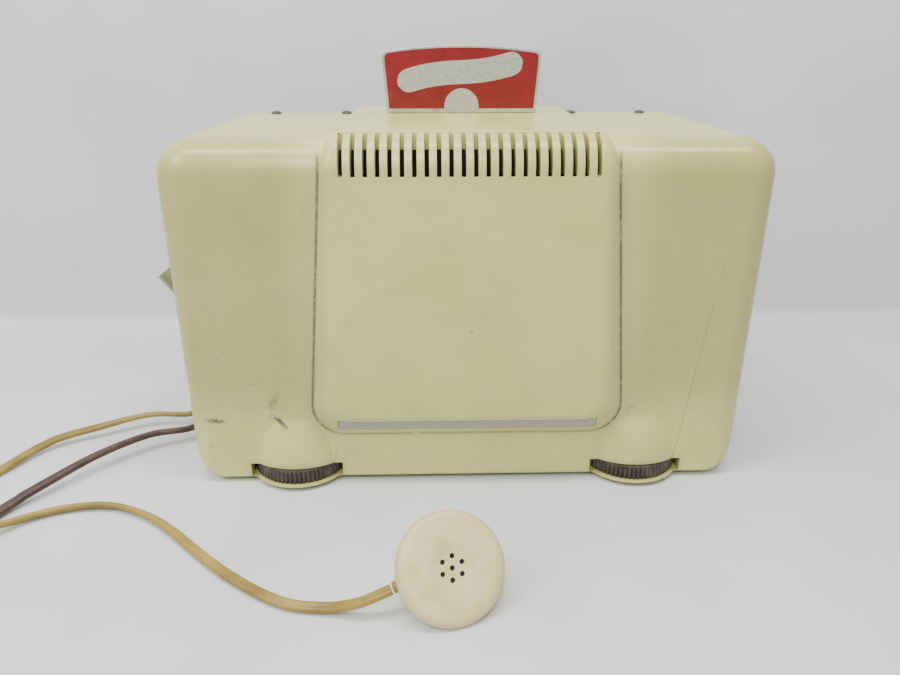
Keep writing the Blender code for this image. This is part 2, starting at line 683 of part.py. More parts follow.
def sign():
    """The coin sign: an arched plate bent back into a foot, with two rivets."""
    foot = SIGN_FOOT_WIDTH / 2
    top = SIGN_TOP_WIDTH / 2
    rise = SIGN_APEX - SIGN_SHOULDER
    run = top - SIGN_CORNER
    crown = (run ** 2 + rise ** 2) / (2 * rise)
    spread = math.degrees(math.asin(run / crown))
    points = [(-foot, 0), (foot, 0), (top, SIGN_SHOULDER - SIGN_CORNER)]
    points += arc((top - SIGN_CORNER, SIGN_SHOULDER - SIGN_CORNER), SIGN_CORNER, 20, 75, 3)
    points += arc((0, SIGN_APEX - crown), crown, 90 - spread, 90 + spread, 13)
    points += arc((SIGN_CORNER - top, SIGN_SHOULDER - SIGN_CORNER), SIGN_CORNER, 105, 160, 3)
    points += [(-top, SIGN_SHOULDER - SIGN_CORNER)]
    place = (0, SIGN_Y, STRIP_TOP + GAP)
    plate = outline(points, SIGN_THICK, place, (math.radians(90), 0, 0))
    fuse(plate, span((-foot, foot), (SIGN_Y - SIGN_THICK / 4, SIGN_Y + SIGN_FOOT_DEPTH),
                     (STRIP_TOP + GAP, STRIP_TOP + GAP + SIGN_THICK)))
    rivet_y = SIGN_Y + SIGN_FOOT_DEPTH / 2 + 1
    for x in (-RIVET_X, RIVET_X):
        cut(plate, rod(1.9, 8, (x, rivet_y, STRIP_TOP - 4), sides=12))
    keep("sign_plate", plate, aluminium)
    for number, x in enumerate((-RIVET_X, RIVET_X), start=1):
        profile = [(0, 1.4), (1.8, 1.1), (2.8, 0.0), (1.5, 0.0), (1.5, -8.0), (0, -8.0)]
        place = (x, rivet_y, STRIP_TOP + 2 * GAP + SIGN_THICK)
        keep(f"sign_rivet_{number}", turned(profile, place, steps=12), aluminium)


def speaker_hook():
    """The sheet-metal clip on the left wall that the speaker hangs from."""
    wall = -CASE_HALF - GAP
    points = [(wall, 72), (wall, 92), (wall - 10.6, 106), (wall - 11.6, 105.2),
              (wall - 1.2, 91.6), (wall - 1.2, 72)]
    hook = outline(points, 20, (0, -35, 0), (math.radians(90), 0, 0))
    keep("speaker_hook", hook, grey_steel)


# ---------------------------------------------------------------- controls

def zigzag_disc(radius, depth, count):
    points = []
    for i in range(2 * count):
        reach = radius - (depth if i % 2 else 0)
        angle = math.pi * i / count
        points.append((reach * math.cos(angle), reach * math.sin(angle)))
    return points


def thumbwheel(name, axis):
    wheel = outline(zigzag_disc(WHEEL_RADIUS, RIB_DEPTH, WHEEL_RIBS), WHEEL_THICK,
                    (0, 0, WHEEL_Z + WHEEL_THICK / 2), parent=axis)
    cut(wheel, rod(SHAFT_RADIUS + GAP, WHEEL_THICK + 4, (0, 0, WHEEL_Z - 2), parent=axis))
    keep(name, wheel, brown_plastic)


def volume_control():
    axis = axis_empty("volume_axis", (-WHEEL_X, WHEEL_Y, 0))
    thumbwheel("volume_wheel", axis)
    keep("volume_shaft", rod(SHAFT_RADIUS, 24, (0, 0, WHEEL_Z + GAP), parent=axis, sides=16), brass)
    pot = rod(12, 11, (-WHEEL_X, WHEEL_Y, CHASSIS_TOP + GAP))
    cut(pot, rod(SHAFT_HOLE, 20, (-WHEEL_X, WHEEL_Y, CHASSIS_TOP - 11), sides=16))
    keep("volume_control", pot, grey_steel)


def tuning_gang():
    """A small tuning capacitor: half-disc plates on the thumbwheel's shaft turn between fixed ones."""
    axis = axis_empty("tuning_axis", (WHEEL_X, WHEEL_Y, 0))
    thumbwheel("tuning_wheel", axis)
    low = CHASSIS_TOP + GAP
    height = GANG_PLATES * GANG_PITCH + 8.0
    keep("tuning_shaft", rod(SHAFT_RADIUS, low + height + 3 - WHEEL_Z, (0, 0, WHEEL_Z + GAP),
                             parent=axis, sides=16), brass)
    hub_foot = low + 2.0
    hub = rod(5, height - 4.0, (0, 0, hub_foot), parent=axis, sides=20)
    half_disc = [(GANG_RADIUS, 0)] + arc((0, 0), GANG_RADIUS, 180, 360, 17)[:-1]
    for i in range(GANG_PLATES):
        middle = hub_foot + 2.5 + i * GANG_PITCH
        fuse(hub, outline(half_disc, GANG_PLATE, (0, 0, middle), parent=axis))
    cut(hub, rod(SHAFT_RADIUS + GAP, height, (0, 0, low), parent=axis, sides=16))
    keep("tuning_rotor", hub, aluminium)

    back = WHEEL_Y + GANG_RADIUS + 6.0
    x = (WHEEL_X - 17, WHEEL_X + 17)
    frame = span(x, (back, back + 1.6), (low, low + height))
    for foot in (low, low + height - 1.2):
        fuse(frame, span(x, (WHEEL_Y - 8, back + 1), (foot, foot + 1.2)))
    for i in range(GANG_PLATES):
        middle = hub_foot + 2.5 + (i + 0.5) * GANG_PITCH
        fuse(frame, span((WHEEL_X - 13, WHEEL_X + 13), (WHEEL_Y + 6, back + 1),
                         (middle - GANG_PLATE / 2, middle + GANG_PLATE / 2)))
    cut(frame, rod(SHAFT_HOLE, height + 8, (WHEEL_X, WHEEL_Y, low - 4), sides=16))
    keep("tuning_frame", frame, grey_steel)


def dial(place):
    clear_width = DIAL_WIDTH - 2 * GAP
    lens = block((clear_width, LENS_THICK, DIAL_HEIGHT - 2 * GAP), (0, 1.6, 0), parent=place)
    keep("dial_lens", lens, clear_plastic)
    scale = block((clear_width, SCALE_THICK, 5.2), (0, 4.9, -1.0), parent=place)
    keep("dial_scale", scale, aluminium)
    travel = axis_empty("pointer_start", (-POINTER_TRAVEL / 2, 0, 0))
    travel.parent = place
    rail_y = 12.0
    rail_z = 3.0
    needle = block((1.2, POINTER_THICK, 6.2), (0, 3.2, 0), parent=travel)
    fuse(needle, block((1.2, rail_y - 2.0, 0.9), (0, (rail_y + 3.4) / 2, 2.65), parent=travel))
    fuse(needle, block((6, 4, 4), (0, rail_y, rail_z), parent=travel))
    cut(needle, rod(RAIL_RADIUS + GAP, 12, (-6, rail_y, rail_z), (0, math.radians(90), 0), travel,
                    sides=12))
    keep("dial_pointer", needle, red_paint)
    rail_half = DIAL_WIDTH / 2 - 2
    rail = rod(RAIL_RADIUS, 2 * rail_half, (-rail_half, rail_y, rail_z), (0, math.radians(90), 0),
               place, sides=12)
    bpy.context.view_layer.update()
    end = place.matrix_world @ (Vector((0, rail_y, rail_z)) * MM) / MM
    for side in (-1, 1):
        x = side * (rail_half - 1.5)
        fuse(rail, span((x - 1.5, x + 1.5), (end.y - 1.4, end.y + 1.4),
                        (CHASSIS_TOP + GAP, end.z + 1.4)))
    keep("pointer_rail", rail, grey_steel)


# ---------------------------------------------------------------- radio works

def chassis():
    """A pan of sheet steel over the base plate, with holes for the shafts and tubes."""
    back = REAR_PANEL_Y - GAP
    deck = span((-BASE_HALF, BASE_HALF), (CHASSIS_FRONT_Y, back), (CHASSIS_Z, CHASSIS_TOP))
    foot = BASE_THICK + GAP
    for side in (-1, 1):
        edge = sorted((side * BASE_HALF, side * (BASE_HALF - CHASSIS_THICK)))
        fuse(deck, span(edge, (BASE_FRONT_Y, back), (foot, CHASSIS_Z + 1)))
    fuse(deck, span((-80, 80), (back - CHASSIS_THICK, back), (foot, CHASSIS_Z + 1)))
    for side in (-1, 1):
        cut(deck, rod(SHAFT_HOLE, 8, (side * WHEEL_X, WHEEL_Y, CHASSIS_Z - 4), sides=16))
        cut(deck, along_y(SCREW_SHANK_RADIUS + GAP, 8, (side * REAR_SCREW_X, back - 6, REAR_SCREW_Z),
                          sides=12))
    gland_room = (SPEAKER_GLAND_X + GLAND_RADIUS + 3, POWER_GLAND_X - GLAND_RADIUS - 1)
    cut(deck, span((gland_room[1], gland_room[0]), (back - 9, back + 2), (CHASSIS_Z - 14, 24)))
    keep("chassis", deck, grey_steel)


def tubes():
    radius = TUBE_RADIUS
    shoulder = TUBE_HEIGHT - 8
    dome = [(radius * math.cos(a), shoulder + 6 * math.sin(a)) for a in np.radians((75, 50, 25, 0))]
    profile = [(0, TUBE_HEIGHT), (1.4, TUBE_HEIGHT - 1)] + dome + [(radius, 0), (0, 0)]
    for number, (x, y) in enumerate(TUBE_PLACES, start=1):
        keep(f"tube_{number}", turned(profile, (x, y, CHASSIS_TOP + GAP), steps=20), glass)


def cans_and_transformer():
    for number, (x, y) in enumerate(CAN_PLACES, start=1):
        can = block((CAN_SIDE, CAN_SIDE, CAN_HEIGHT), (x, y, CHASSIS_TOP + GAP + CAN_HEIGHT / 2),
                    round_by=1.5)
        keep(f"if_can_{number}", can, aluminium)
    x, y = FILTER_PLACE
    profile = [(0, FILTER_HEIGHT), (FILTER_RADIUS - 1, FILTER_HEIGHT),
               (FILTER_RADIUS, FILTER_HEIGHT - 1), (FILTER_RADIUS, 0), (0, 0)]
    keep("filter_can", turned(profile, (x, y, CHASSIS_TOP + GAP), steps=24), aluminium)
    low = CHASSIS_TOP + GAP
    core = span((-64, -38), (4, 18), (low, low + 32))
    fuse(core, span((-60, -42), (-2, 24), (low + 6, low + 26), round_by=1.5))
    keep("output_transformer", core, dark_steel)


def antenna():
    """A flat loop antenna on the left wall."""
    points = round_rectangle(46, 40, 150, 18, 4)
    ring = outline(points, 4, (-(CASE_HALF - WALL - 6), 12, 0), (math.radians(90), 0, math.radians(90)))
    hole = outline(round_rectangle(36, 50, 140, 10, 4), 12, (-(CASE_HALF - WALL - 6), 12, 0),
                   (math.radians(90), 0, math.radians(90)))
    cut(ring, hole)
    keep("loop_antenna", ring, board)


# ---------------------------------------------------------------- coin works

def coin_slot_and_chute():
    half = COIN_WIDTH / 2
    top = STRIP_TOP + GAP
    plate = span((-half - 7, half + 7), (COIN_SLOT_Y - 7, COIN_SLOT_Y + 7), (top, top + 1.2),
                 round_by=0.4)
    cut(plate, span((-half + 0.7, half - 0.7), (COIN_SLOT_Y - 1.2, COIN_SLOT_Y + 1.2),
                    (top - 3, top + 4)))
    keep("coin_slot_plate", plate, chrome)
    outer_x = half + CHUTE_WALL
    outer_y = COIN_GAP / 2 + CHUTE_WALL
    roof = INNER_TOP - 0.5
    chute = span((-outer_x, outer_x), (COIN_SLOT_Y - outer_y, COIN_SLOT_Y + outer_y),
                 (CHUTE_FOOT_Z, roof))
    fuse(chute, span((-8, 8), (COIN_SLOT_Y + outer_y - 1, REAR_PANEL_Y - GAP), (148, 150)))
    cut(chute, span((-half, half), (COIN_SLOT_Y - COIN_GAP / 2, COIN_SLOT_Y + COIN_GAP / 2),
                    (CHUTE_FOOT_Z - 2, roof + 2)))
    keep("coin_chute", chute, grey_steel)


def coin_drawer():
    """The cash drawer, its face in the rear panel, and its cam lock."""
    low = CHASSIS_TOP + 1.0
    face_y = REAR_PANEL_Y + PANEL_STEEL
    slide = axis_empty("drawer_slide", (0, face_y, low))
    body = span((-DRAWER_HALF, DRAWER_HALF), (DRAWER_FRONT_Y - face_y, 0),
                (0, DRAWER_HEIGHT), parent=slide)
    fuse(body, span((-DRAWER_FACE_HALF, DRAWER_FACE_HALF), (-PANEL_STEEL, 0),
                    (0, DRAWER_FACE_HEIGHT), parent=slide))
    room = DRAWER_HALF - DRAWER_WALL
    cut(body, span((-room, room), (DRAWER_FRONT_Y - face_y + DRAWER_WALL, -PANEL_STEEL - 0.2),
                   (DRAWER_WALL, DRAWER_HEIGHT + 4), parent=slide))
    lock_z = DRAWER_FACE_HEIGHT - LOCK_DROP
    cut(body, along_y(LOCK_RADIUS + GAP, 10, (0, -5, lock_z), parent=slide))
    keep("coin_drawer", body, grey_steel)

    barrel = along_y(LOCK_RADIUS, 9, (0, -6.5, lock_z), parent=slide)
    fuse(barrel, along_y(LOCK_RADIUS + 2, 1.6, (0, GAP, lock_z), parent=slide))
    cut(barrel, along_y(PLUG_RADIUS + GAP, 20, (0, -10, lock_z), parent=slide))
    keep("lock_barrel", barrel, chrome)

    turn_axis = axis_empty("lock_axis", (0, 0, lock_z))
    turn_axis.parent = slide
    plug = along_y(PLUG_RADIUS, 10.6, (0, -8, 0), parent=turn_axis)
    cut(plug, block((0.9, 6, 5), (0, 4, 0), parent=turn_axis))
    keep("lock_plug", plug, chrome)
    cam = span((-5, CAM_LENGTH), (-10, -8 - GAP), (-4, 4), parent=turn_axis)
    keep("lock_cam", cam, grey_steel)


def gear_outline(teeth, start):
    """Straight-sided teeth with clear play between them. start turns the first tooth's middle."""
    pitch_radius = GEAR_MODULE * teeth / 2
    root = pitch_radius - 1.15 * GEAR_MODULE
    tip = pitch_radius + 0.75 * GEAR_MODULE
    half_root = 0.27 * math.pi * GEAR_MODULE / root
    half_tip = 0.11 * math.pi * GEAR_MODULE / tip
    points = []
    for tooth in range(teeth):
        middle = start + 2 * math.pi * tooth / teeth
        for radius, angle in ((root, -half_root), (tip, -half_tip), (tip, half_tip), (root, half_root)):
            points.append((radius * math.cos(middle + angle), radius * math.sin(middle + angle)))
    return points


def coin_timer():
    """The timer: a motor's pinion drives a wheel, and a cam on the wheel works a switch."""
    flat = (math.radians(90), 0, 0)
    axis = axis_empty("timer_axis", (TIMER_X, TIMER_Y, TIMER_Z))
    step = 2 * math.pi / TIMER_TEETH
    wheel = outline(gear_outline(TIMER_TEETH, math.pi / 2 + step / 2), GEAR_THICK,
                    (0, GEAR_THICK / 2, 0), flat, axis)
    fuse(wheel, along_y(CAM_HUB_RADIUS, 6.5, (0, GEAR_THICK - 1, 0), parent=axis))
    fuse(wheel, along_y(2.5, 21, (0, -3, 0), parent=axis, sides=16))
    cut(wheel, block((5, 6, 5), (0, GEAR_THICK + 3.3, CAM_HUB_RADIUS + 1.2), parent=axis))
    keep("timer_wheel", wheel, brass)

    centre = TIMER_Z + GEAR_MODULE * (TIMER_TEETH + PINION_TEETH) / 2
    pinion_axis = axis_empty("pinion_axis", (TIMER_X, TIMER_Y, centre))
    pinion = outline(gear_outline(PINION_TEETH, -math.pi / 2), GEAR_THICK, (0, GEAR_THICK / 2, 0),
                     flat, pinion_axis)
    fuse(pinion, along_y(1.5, 18, (0, 0.5, 0), parent=pinion_axis, sides=12))
    keep("motor_pinion", pinion, brass)

    bracket_y = (BRACKET_Y, BRACKET_Y + BRACKET_THICK)
    low = CHASSIS_TOP + GAP
    x = (TIMER_X - 34, TIMER_X + 34)
    bracket = span(x, bracket_y, (low, centre + MOTOR_RADIUS))
    fuse(bracket, span(x, (BRACKET_Y, BRACKET_Y + 14), (low, low + BRACKET_THICK)))
    cut(bracket, along_y(2.5 + SHAFT_CLEAR, 8, (TIMER_X, BRACKET_Y - 3, TIMER_Z), sides=16))
    cut(bracket, along_y(4, 8, (TIMER_X, BRACKET_Y - 3, centre), sides=16))
    keep("timer_bracket", bracket, grey_steel)

    motor_y = bracket_y[1] + GAP
    motor = along_y(MOTOR_RADIUS, MOTOR_DEPTH, (TIMER_X, motor_y, centre), sides=32)
    cut(motor, along_y(1.5 + SHAFT_CLEAR, 10, (TIMER_X, motor_y - 4, centre), sides=12))
    keep("timer_motor", motor, dark_steel)

    lever_top = TIMER_Z - CAM_HUB_RADIUS - 1.5
    switch_top = lever_top - 4.0
    body = span((TIMER_X - 16, TIMER_X + 10), (TIMER_Y + GEAR_THICK + 0.8, BRACKET_Y - GAP),
                (switch_top - 13, switch_top), round_by=0.8)
    keep("timer_switch", body, brown_plastic)
    hinge = axis_empty("lever_axis", (TIMER_X - 14, TIMER_Y + GEAR_THICK + 3, lever_top - 0.5))
    lever = span((-1, 25), (-1.7, 1.7), (-0.4, 0.5), parent=hinge)
    fuse(lever, span((-1, 0.4), (-1.7, 1.7), (-2.8, 0.4), parent=hinge))
    keep("switch_lever", lever, brass)


# ---------------------------------------------------------------- pillow speaker

def pillow_speaker():
    seat = axis_empty("pillow_place", PILLOW_PLACE, PILLOW_TILT)
    edge = PILLOW_RADIUS
    wall = PILLOW_WALL
    face = [(0, 2.4), (4, 2.5), (7.0, 3.1), (9.5, 3.7), (edge - 6, 3.4), (edge - 2.2, 3.0)]
    face += arc((edge - 2.2, 0.8), 2.2, 68, 0, 4)
    face += [(edge, -2.0), (edge - 2.4, -2.0), (edge - 2.4, 0.2), (edge - 4, 0.6), (9, 1.3), (0, 0.3)]
    front = turned(face, (0, 0, 0), parent=seat, steps=32)
    for i in range(PILLOW_HOLES):
        angle = math.radians(360 * i / PILLOW_HOLES + 20)
        spot = (PILLOW_HOLE_RING * math.cos(angle), PILLOW_HOLE_RING * math.sin(angle), -2)
        cut(front, rod(PILLOW_HOLE_RADIUS, 8, spot, parent=seat, sides=8))
    cut(front, rod(PILLOW_HOLE_RADIUS, 8, (0, 0, -2), parent=seat, sides=8))
    keep("pillow_front", front, ivory_plastic)

    tail = PILLOW_TAIL_RADIUS
    back = [(0, -PILLOW_DEEP + wall), (tail - 1.5, -PILLOW_DEEP + wall), (edge - 6.8, -7.0),
            (edge - 2.4 - GAP - wall, -3.0), (edge - 2.4 - GAP - wall, 0.0), (edge - 2.4 - GAP, 0.0),
            (edge - 2.4 - GAP, -2.3), (edge - 0.6, -2.3), (edge - 1.0, -3.6), (edge - 4.4, -8.4),
            (tail + 1.0, -PILLOW_DEEP + 0.4), (tail - 1, -PILLOW_DEEP), (0, -PILLOW_DEEP)]
    shell = turned(back, (0, 0, 0), parent=seat, steps=32)
    spin = math.radians(RELIEF_ANGLE)
    along = (0, math.radians(90), spin)
    depth = -6.4
    hole = rod(RELIEF_RADIUS + GAP, 30, (0, 0, depth), along, seat, sides=16)
    cut(shell, hole)
    keep("pillow_back", shell, ivory_plastic)

    start = edge - 8.5
    spot = (start * math.cos(spin), start * math.sin(spin), depth)
    relief = rod(RELIEF_RADIUS, 9, spot, along, seat, tip_radius=SPEAKER_CORD / 2, sides=16)
    keep("pillow_relief", relief, gold_vinyl)

    driver = [(0, 0.0), (8, 0.2), (13, -0.4), (13, -3.0), (8, -3.4), (8, -8.6), (0, -8.6)]
    keep("pillow_driver", turned(driver, (0, 0, -0.6), parent=seat, steps=28), dark_steel)


# ---------------------------------------------------------------- cords

def smooth_line(route, step):
    """Points at an even step along a smooth curve through the route's points."""
    points = np.array(route)
    extended = np.vstack((2 * points[0] - points[1], points, 2 * points[-1] - points[-2]))
    fine = []
    for i in range(1, len(extended) - 2):
        a, b, c, d = extended[i - 1:i + 3]
        for t in np.linspace(0, 1, 24, endpoint=False):
            fine.append(0.5 * (2 * b + (c - a) * t + (2 * a - 5 * b + 4 * c - d) * t * t
                               + (3 * b - a - 3 * c + d) * t ** 3))
    fine.append(points[-1])
    fine = np.array(fine)
    gone = np.concatenate(([0], np.cumsum(np.linalg.norm(np.diff(fine, axis=0), axis=1))))
    count = max(2, round(gone[-1] / step) + 1)
    even = np.linspace(0, gone[-1], count)
    return np.column_stack([np.interp(even, gone, fine[:, k]) for k in range(3)])


def cord(name, route, width, material):
    curve = bpy.data.curves.new(name, "CURVE")
    curve.dimensions = "3D"
    curve.bevel_depth = width / 2 * MM
    curve.bevel_resolution = 2
    curve.use_fill_caps = True
    lower = 2.9 - width / 2
    points = smooth_line(route, 2.6 * width) + np.array((CORD_SHIFT, 0, -lower))
    line = curve.splines.new("POLY")
    line.points.add(len(points) - 1)
    for target, place in zip(line.points, points):
        target.co = (*(place * MM), 1.0)
    keep(name, tool_object(name, curve), material)


def coil(name, centre, radius, wide, high, material):
    """The outer shape of a round coil lying flat."""
    bevel = 2.5
    x = (radius - wide / 2, radius + wide / 2)
    profile = [(x[0] + bevel, high), (x[1] - bevel, high), (x[1], high - bevel), (x[1], bevel),
               (x[1] - bevel, 0), (x[0] + bevel, 0), (x[0], bevel), (x[0], high - bevel)]
    place = (centre[0] + CORD_SHIFT, centre[1], 0.05)
    keep(name, turned(profile, place, steps=28, closed=True), material)


def gland(name, x, width, material):
    """A moulded strain relief in the rear panel, tapering towards the cord."""
    panel = REAR_PANEL_Y
    neck = GLAND_RADIUS - 1.0
    profile = [(0, GLAND_LENGTH), (width / 2 + 0.5, GLAND_LENGTH), (GLAND_RADIUS, 4.4),
               (GLAND_RADIUS, GAP), (neck, GAP), (neck, -PANEL_STEEL - GAP),
               (GLAND_RADIUS, -PANEL_STEEL - GAP), (GLAND_RADIUS, -PANEL_STEEL - 3.0),
               (0, -PANEL_STEEL - 3.0)]
    place = (x, panel + PANEL_STEEL, GLAND_Z)
    keep(name, turned(profile, place, (math.radians(-90), 0, 0), steps=16), material)


def power_plug():
    """A flat two-blade plug lying on the coil."""
    x, y, z = PLUG_PLACE
    x += CORD_SHIFT
    body = block((24, 28, 12), (x, y, z), round_by=3.0)
    for side in (-1, 1):
        fuse(body, span((x + side * 6.35 - 0.8, x + side * 6.35 + 0.8), (y - 31, y - 12), (z - 3, z + 3)))
    keep("power_plug", body, brown_plastic)


def cords():
    gland("power_gland", POWER_GLAND_X, POWER_CORD, brown_plastic)
    gland("speaker_gland", SPEAKER_GLAND_X, SPEAKER_CORD, gold_vinyl)
    cord("power_cord", POWER_ROUTE, POWER_CORD, brown_plastic)
    cord("speaker_cord", SPEAKER_ROUTE, SPEAKER_CORD, gold_vinyl)
    cord("speaker_cord_end", RETURN_ROUTE, SPEAKER_CORD, gold_vinyl)
    coil("power_coil", POWER_COIL, POWER_COIL_RADIUS, POWER_COIL_WIDE, POWER_COIL_HIGH, brown_plastic)
    coil("speaker_coil", SPEAKER_COIL, SPEAKER_COIL_RADIUS, SPEAKER_COIL_WIDE, SPEAKER_COIL_HIGH,
         gold_vinyl)
    power_plug()


# ---------------------------------------------------------------- the whole radio

clear_scene()
parts = new_collection("coin_radio")
tools = new_collection("coin_radio_tools")

plastic = finish("cream_plastic", (0.60, 0.56, 0.33), 0.35)
ivory_plastic = finish("ivory_plastic", (0.72, 0.67, 0.45), 0.35)
brown_plastic = finish("brown_plastic", (0.035, 0.025, 0.02), 0.45)
clear_plastic = finish("clear_plastic", (0.8, 0.8, 0.8), 0.1)
gold_vinyl = finish("gold_vinyl", (0.38, 0.25, 0.05), 0.4)
red_paint = finish("red_paint", (0.5, 0.02, 0.02), 0.4)
aluminium = finish("aluminium", (0.7, 0.7, 0.68), 0.35, 1.0)
grey_steel = finish("grey_steel", (0.45, 0.45, 0.45), 0.4, 1.0)
dark_steel = finish("dark_steel", (0.12, 0.12, 0.13), 0.5, 1.0)
chrome = finish("chrome", (0.8, 0.8, 0.8), 0.12, 1.0)
brass = finish("brass", (0.6, 0.42, 0.15), 0.35, 1.0)
glass = finish("glass", (0.25, 0.25, 0.27), 0.08)
board = finish("board", (0.25, 0.12, 0.04), 0.7)

dial_place = dial_empty()
front_shell(dial_place)
rear_shell()
base_plate()
rear_panel()
screws()
sign()
speaker_hook()
volume_control()
tuning_gang()
dial(dial_place)
chassis()
tubes()
cans_and_transformer()
antenna()
coin_slot_and_chute()
coin_drawer()
coin_timer()
pillow_speaker()
cords()
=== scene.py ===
# %% [markdown]
# # A coin-operated bedside radio
#
# A moulded case in two shells, two thumbwheels, a coin sign on the roof, and two cords. This lesson
# dresses a finished mechanical model: every piece that shows is built again in finer form in the same
# place, and every other piece gets a finish that suits what it is made of.
#
# Lengths are in millimetres. `MM` turns them into metres where a mesh is finished.

# %% The model
import json
import math

import bmesh
import bpy
from mathutils import Euler, Matrix, Vector


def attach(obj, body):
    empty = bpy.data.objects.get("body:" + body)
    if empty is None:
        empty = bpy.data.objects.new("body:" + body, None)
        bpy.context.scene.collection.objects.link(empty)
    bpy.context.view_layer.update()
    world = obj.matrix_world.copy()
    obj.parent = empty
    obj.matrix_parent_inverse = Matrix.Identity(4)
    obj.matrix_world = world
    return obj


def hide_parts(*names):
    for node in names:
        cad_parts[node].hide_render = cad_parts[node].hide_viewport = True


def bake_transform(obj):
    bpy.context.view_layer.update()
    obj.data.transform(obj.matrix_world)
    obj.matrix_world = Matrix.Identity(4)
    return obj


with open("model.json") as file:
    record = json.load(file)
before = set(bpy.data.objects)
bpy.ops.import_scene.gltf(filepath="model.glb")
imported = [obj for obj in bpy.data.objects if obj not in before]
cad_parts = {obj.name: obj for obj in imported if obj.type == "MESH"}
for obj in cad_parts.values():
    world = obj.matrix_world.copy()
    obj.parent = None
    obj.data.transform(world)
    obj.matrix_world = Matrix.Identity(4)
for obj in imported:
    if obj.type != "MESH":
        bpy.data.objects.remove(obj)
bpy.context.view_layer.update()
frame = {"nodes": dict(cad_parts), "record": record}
MM = 0.001

# %% [markdown]
# The camera comes first, because it decides which parts of the cords can be seen. It stands low and
# close in front of the radio and looks down by about 22 degrees, so it has a rather wide lens.

# %% Camera
camera = bpy.data.objects.new("camera", bpy.data.cameras.new("camera"))
bpy.context.scene.collection.objects.link(camera)
camera.location = (-0.017, -0.398, 0.2148)
camera.rotation_euler = (math.radians(67.8), 0.0, math.radians(-1.42))
camera.data.sensor_width = 36.0
camera.data.lens = 28.88
bpy.context.scene.camera = camera
print("camera at", tuple(camera.location))

# %% [markdown]
# ## Writing finishes as sums
#
# A finish is a tree of nodes. Building it node by node hides the idea, so `Value` wraps one output and
# gives it arithmetic: `1 - mask` adds a Math node. `Finish` makes a material and adds any other node.

# %% A socket with arithmetic
class Value:
    """One output of a finish's nodes. Arithmetic on it adds Math nodes."""

    def __init__(self, finish, socket):
        self.finish = finish
        self.socket = socket

    def maths(self, operation, first, second):
        return self.finish.node("ShaderNodeMath", {"operation": operation}, {0: first, 1: second})

    def __add__(self, other):
        return self.maths("ADD", self, other)

    def __radd__(self, other):
        return self.maths("ADD", other, self)

    def __sub__(self, other):
        return self.maths("SUBTRACT", self, other)

    def __rsub__(self, other):
        return self.maths("SUBTRACT", other, self)

    def __mul__(self, other):
        return self.maths("MULTIPLY", self, other)

    def __rmul__(self, other):
        return self.maths("MULTIPLY", other, self)

    def __truediv__(self, other):
        return self.maths("DIVIDE", self, other)

    def __pow__(self, power):
        return self.maths("POWER", self, power)

    def __abs__(self):
        return self.finish.node("ShaderNodeMath", {"operation": "ABSOLUTE"}, {0: self})

    def rounded(self):
        return self.finish.node("ShaderNodeMath", {"operation": "ROUND"}, {0: self})

    def sine(self):
        return self.finish.node("ShaderNodeMath", {"operation": "SINE"}, {0: self})

    def over(self, other):
        """The larger of the two."""
        return self.maths("MAXIMUM", self, other)

    def under(self, other):
        """The smaller of the two."""
        return self.maths("MINIMUM", self, other)

    def fade(self, start, end):
        """0 at start, 1 at end, and smooth between them. start may be the larger."""
        settings = {"interpolation_type": "SMOOTHSTEP", "clamp": True}
        if start > end:
            return 1.0 - self.fade(end, start)
        return self.finish.node("ShaderNodeMapRange", settings, {0: self, 1: start, 2: end})


# %% [markdown]
# `Finish` keeps what a plain material needs on the shader itself, as fixed values, and links only what
# changes over the surface. Its patterns read Object coordinates, which here are metres in the room.

# %% A finish
class Finish:
    """A material with one Principled shader."""

    def __init__(self, name, colour, roughness, metallic=0.0, **fixed):
        self.material = bpy.data.materials.new(name)
        self.material.use_nodes = True
        self.tree = self.material.node_tree
        self.shader = self.tree.nodes["Principled BSDF"]
        self.put(self.shader.inputs["Base Color"], colour)
        self.put(self.shader.inputs["Roughness"], roughness)
        self.put(self.shader.inputs["Metallic"], metallic)
        for key, value in fixed.items():
            self.put(self.shader.inputs[key.replace("_", " ")], value)
        self.place = self.node("ShaderNodeTexCoord", {}, {}, "Object")

    def put(self, socket, value):
        if isinstance(value, Value):
            self.tree.links.new(value.socket, socket)
        elif socket.type == "RGBA" and len(value) == 3:
            socket.default_value = (*value, 1.0)
        else:
            socket.default_value = value

    def node(self, kind, settings, values, output=0):
        """Adds a node: its settings first, then the values or links of its sockets."""
        node = self.tree.nodes.new(kind)
        for key, value in settings.items():
            setattr(node, key, value)
        for key, value in values.items():
            self.put(node.inputs[key], value)
        return Value(self, node.outputs[output])

    def set(self, socket, value):
        self.put(self.shader.inputs[socket], value)

    def axes(self, vector=None):
        """The x, y and z of a vector in millimetres."""
        vector = vector or self.place
        parts = [self.node("ShaderNodeSeparateXYZ", {}, {0: vector}, i) for i in range(3)]
        return [part * 1000.0 for part in parts]

    def stretched(self, scale):
        """The place with each axis scaled, for a pattern that is longer one way."""
        return self.node("ShaderNodeMapping", {}, {"Vector": self.place, "Scale": scale})

    def noise(self, size, detail=3.0, rough=0.55, vector=None):
        """Cloudy noise whose lumps are about the given number of millimetres across."""
        values = {"Vector": vector or self.place, "Scale": 1.0 / (size * MM), "Detail": detail,
                  "Roughness": rough}
        return self.node("ShaderNodeTexNoise", {}, values)

    def mix(self, share, first, second):
        """A colour between two colours."""
        return self.node("ShaderNodeMix", {"data_type": "RGBA"}, {0: share, 6: first, 7: second}, 2)

    def shadow(self, strength, colour, base):
        """The base colour multiplied towards a darker one."""
        settings = {"data_type": "RGBA", "blend_type": "MULTIPLY"}
        return self.node("ShaderNodeMix", settings, {0: strength, 6: base, 7: colour}, 2)

    def relief(self, height, distance, strength=1.0):
        values = {"Height": height, "Distance": distance * MM, "Strength": strength}
        self.set("Normal", self.node("ShaderNodeBump", {}, values))


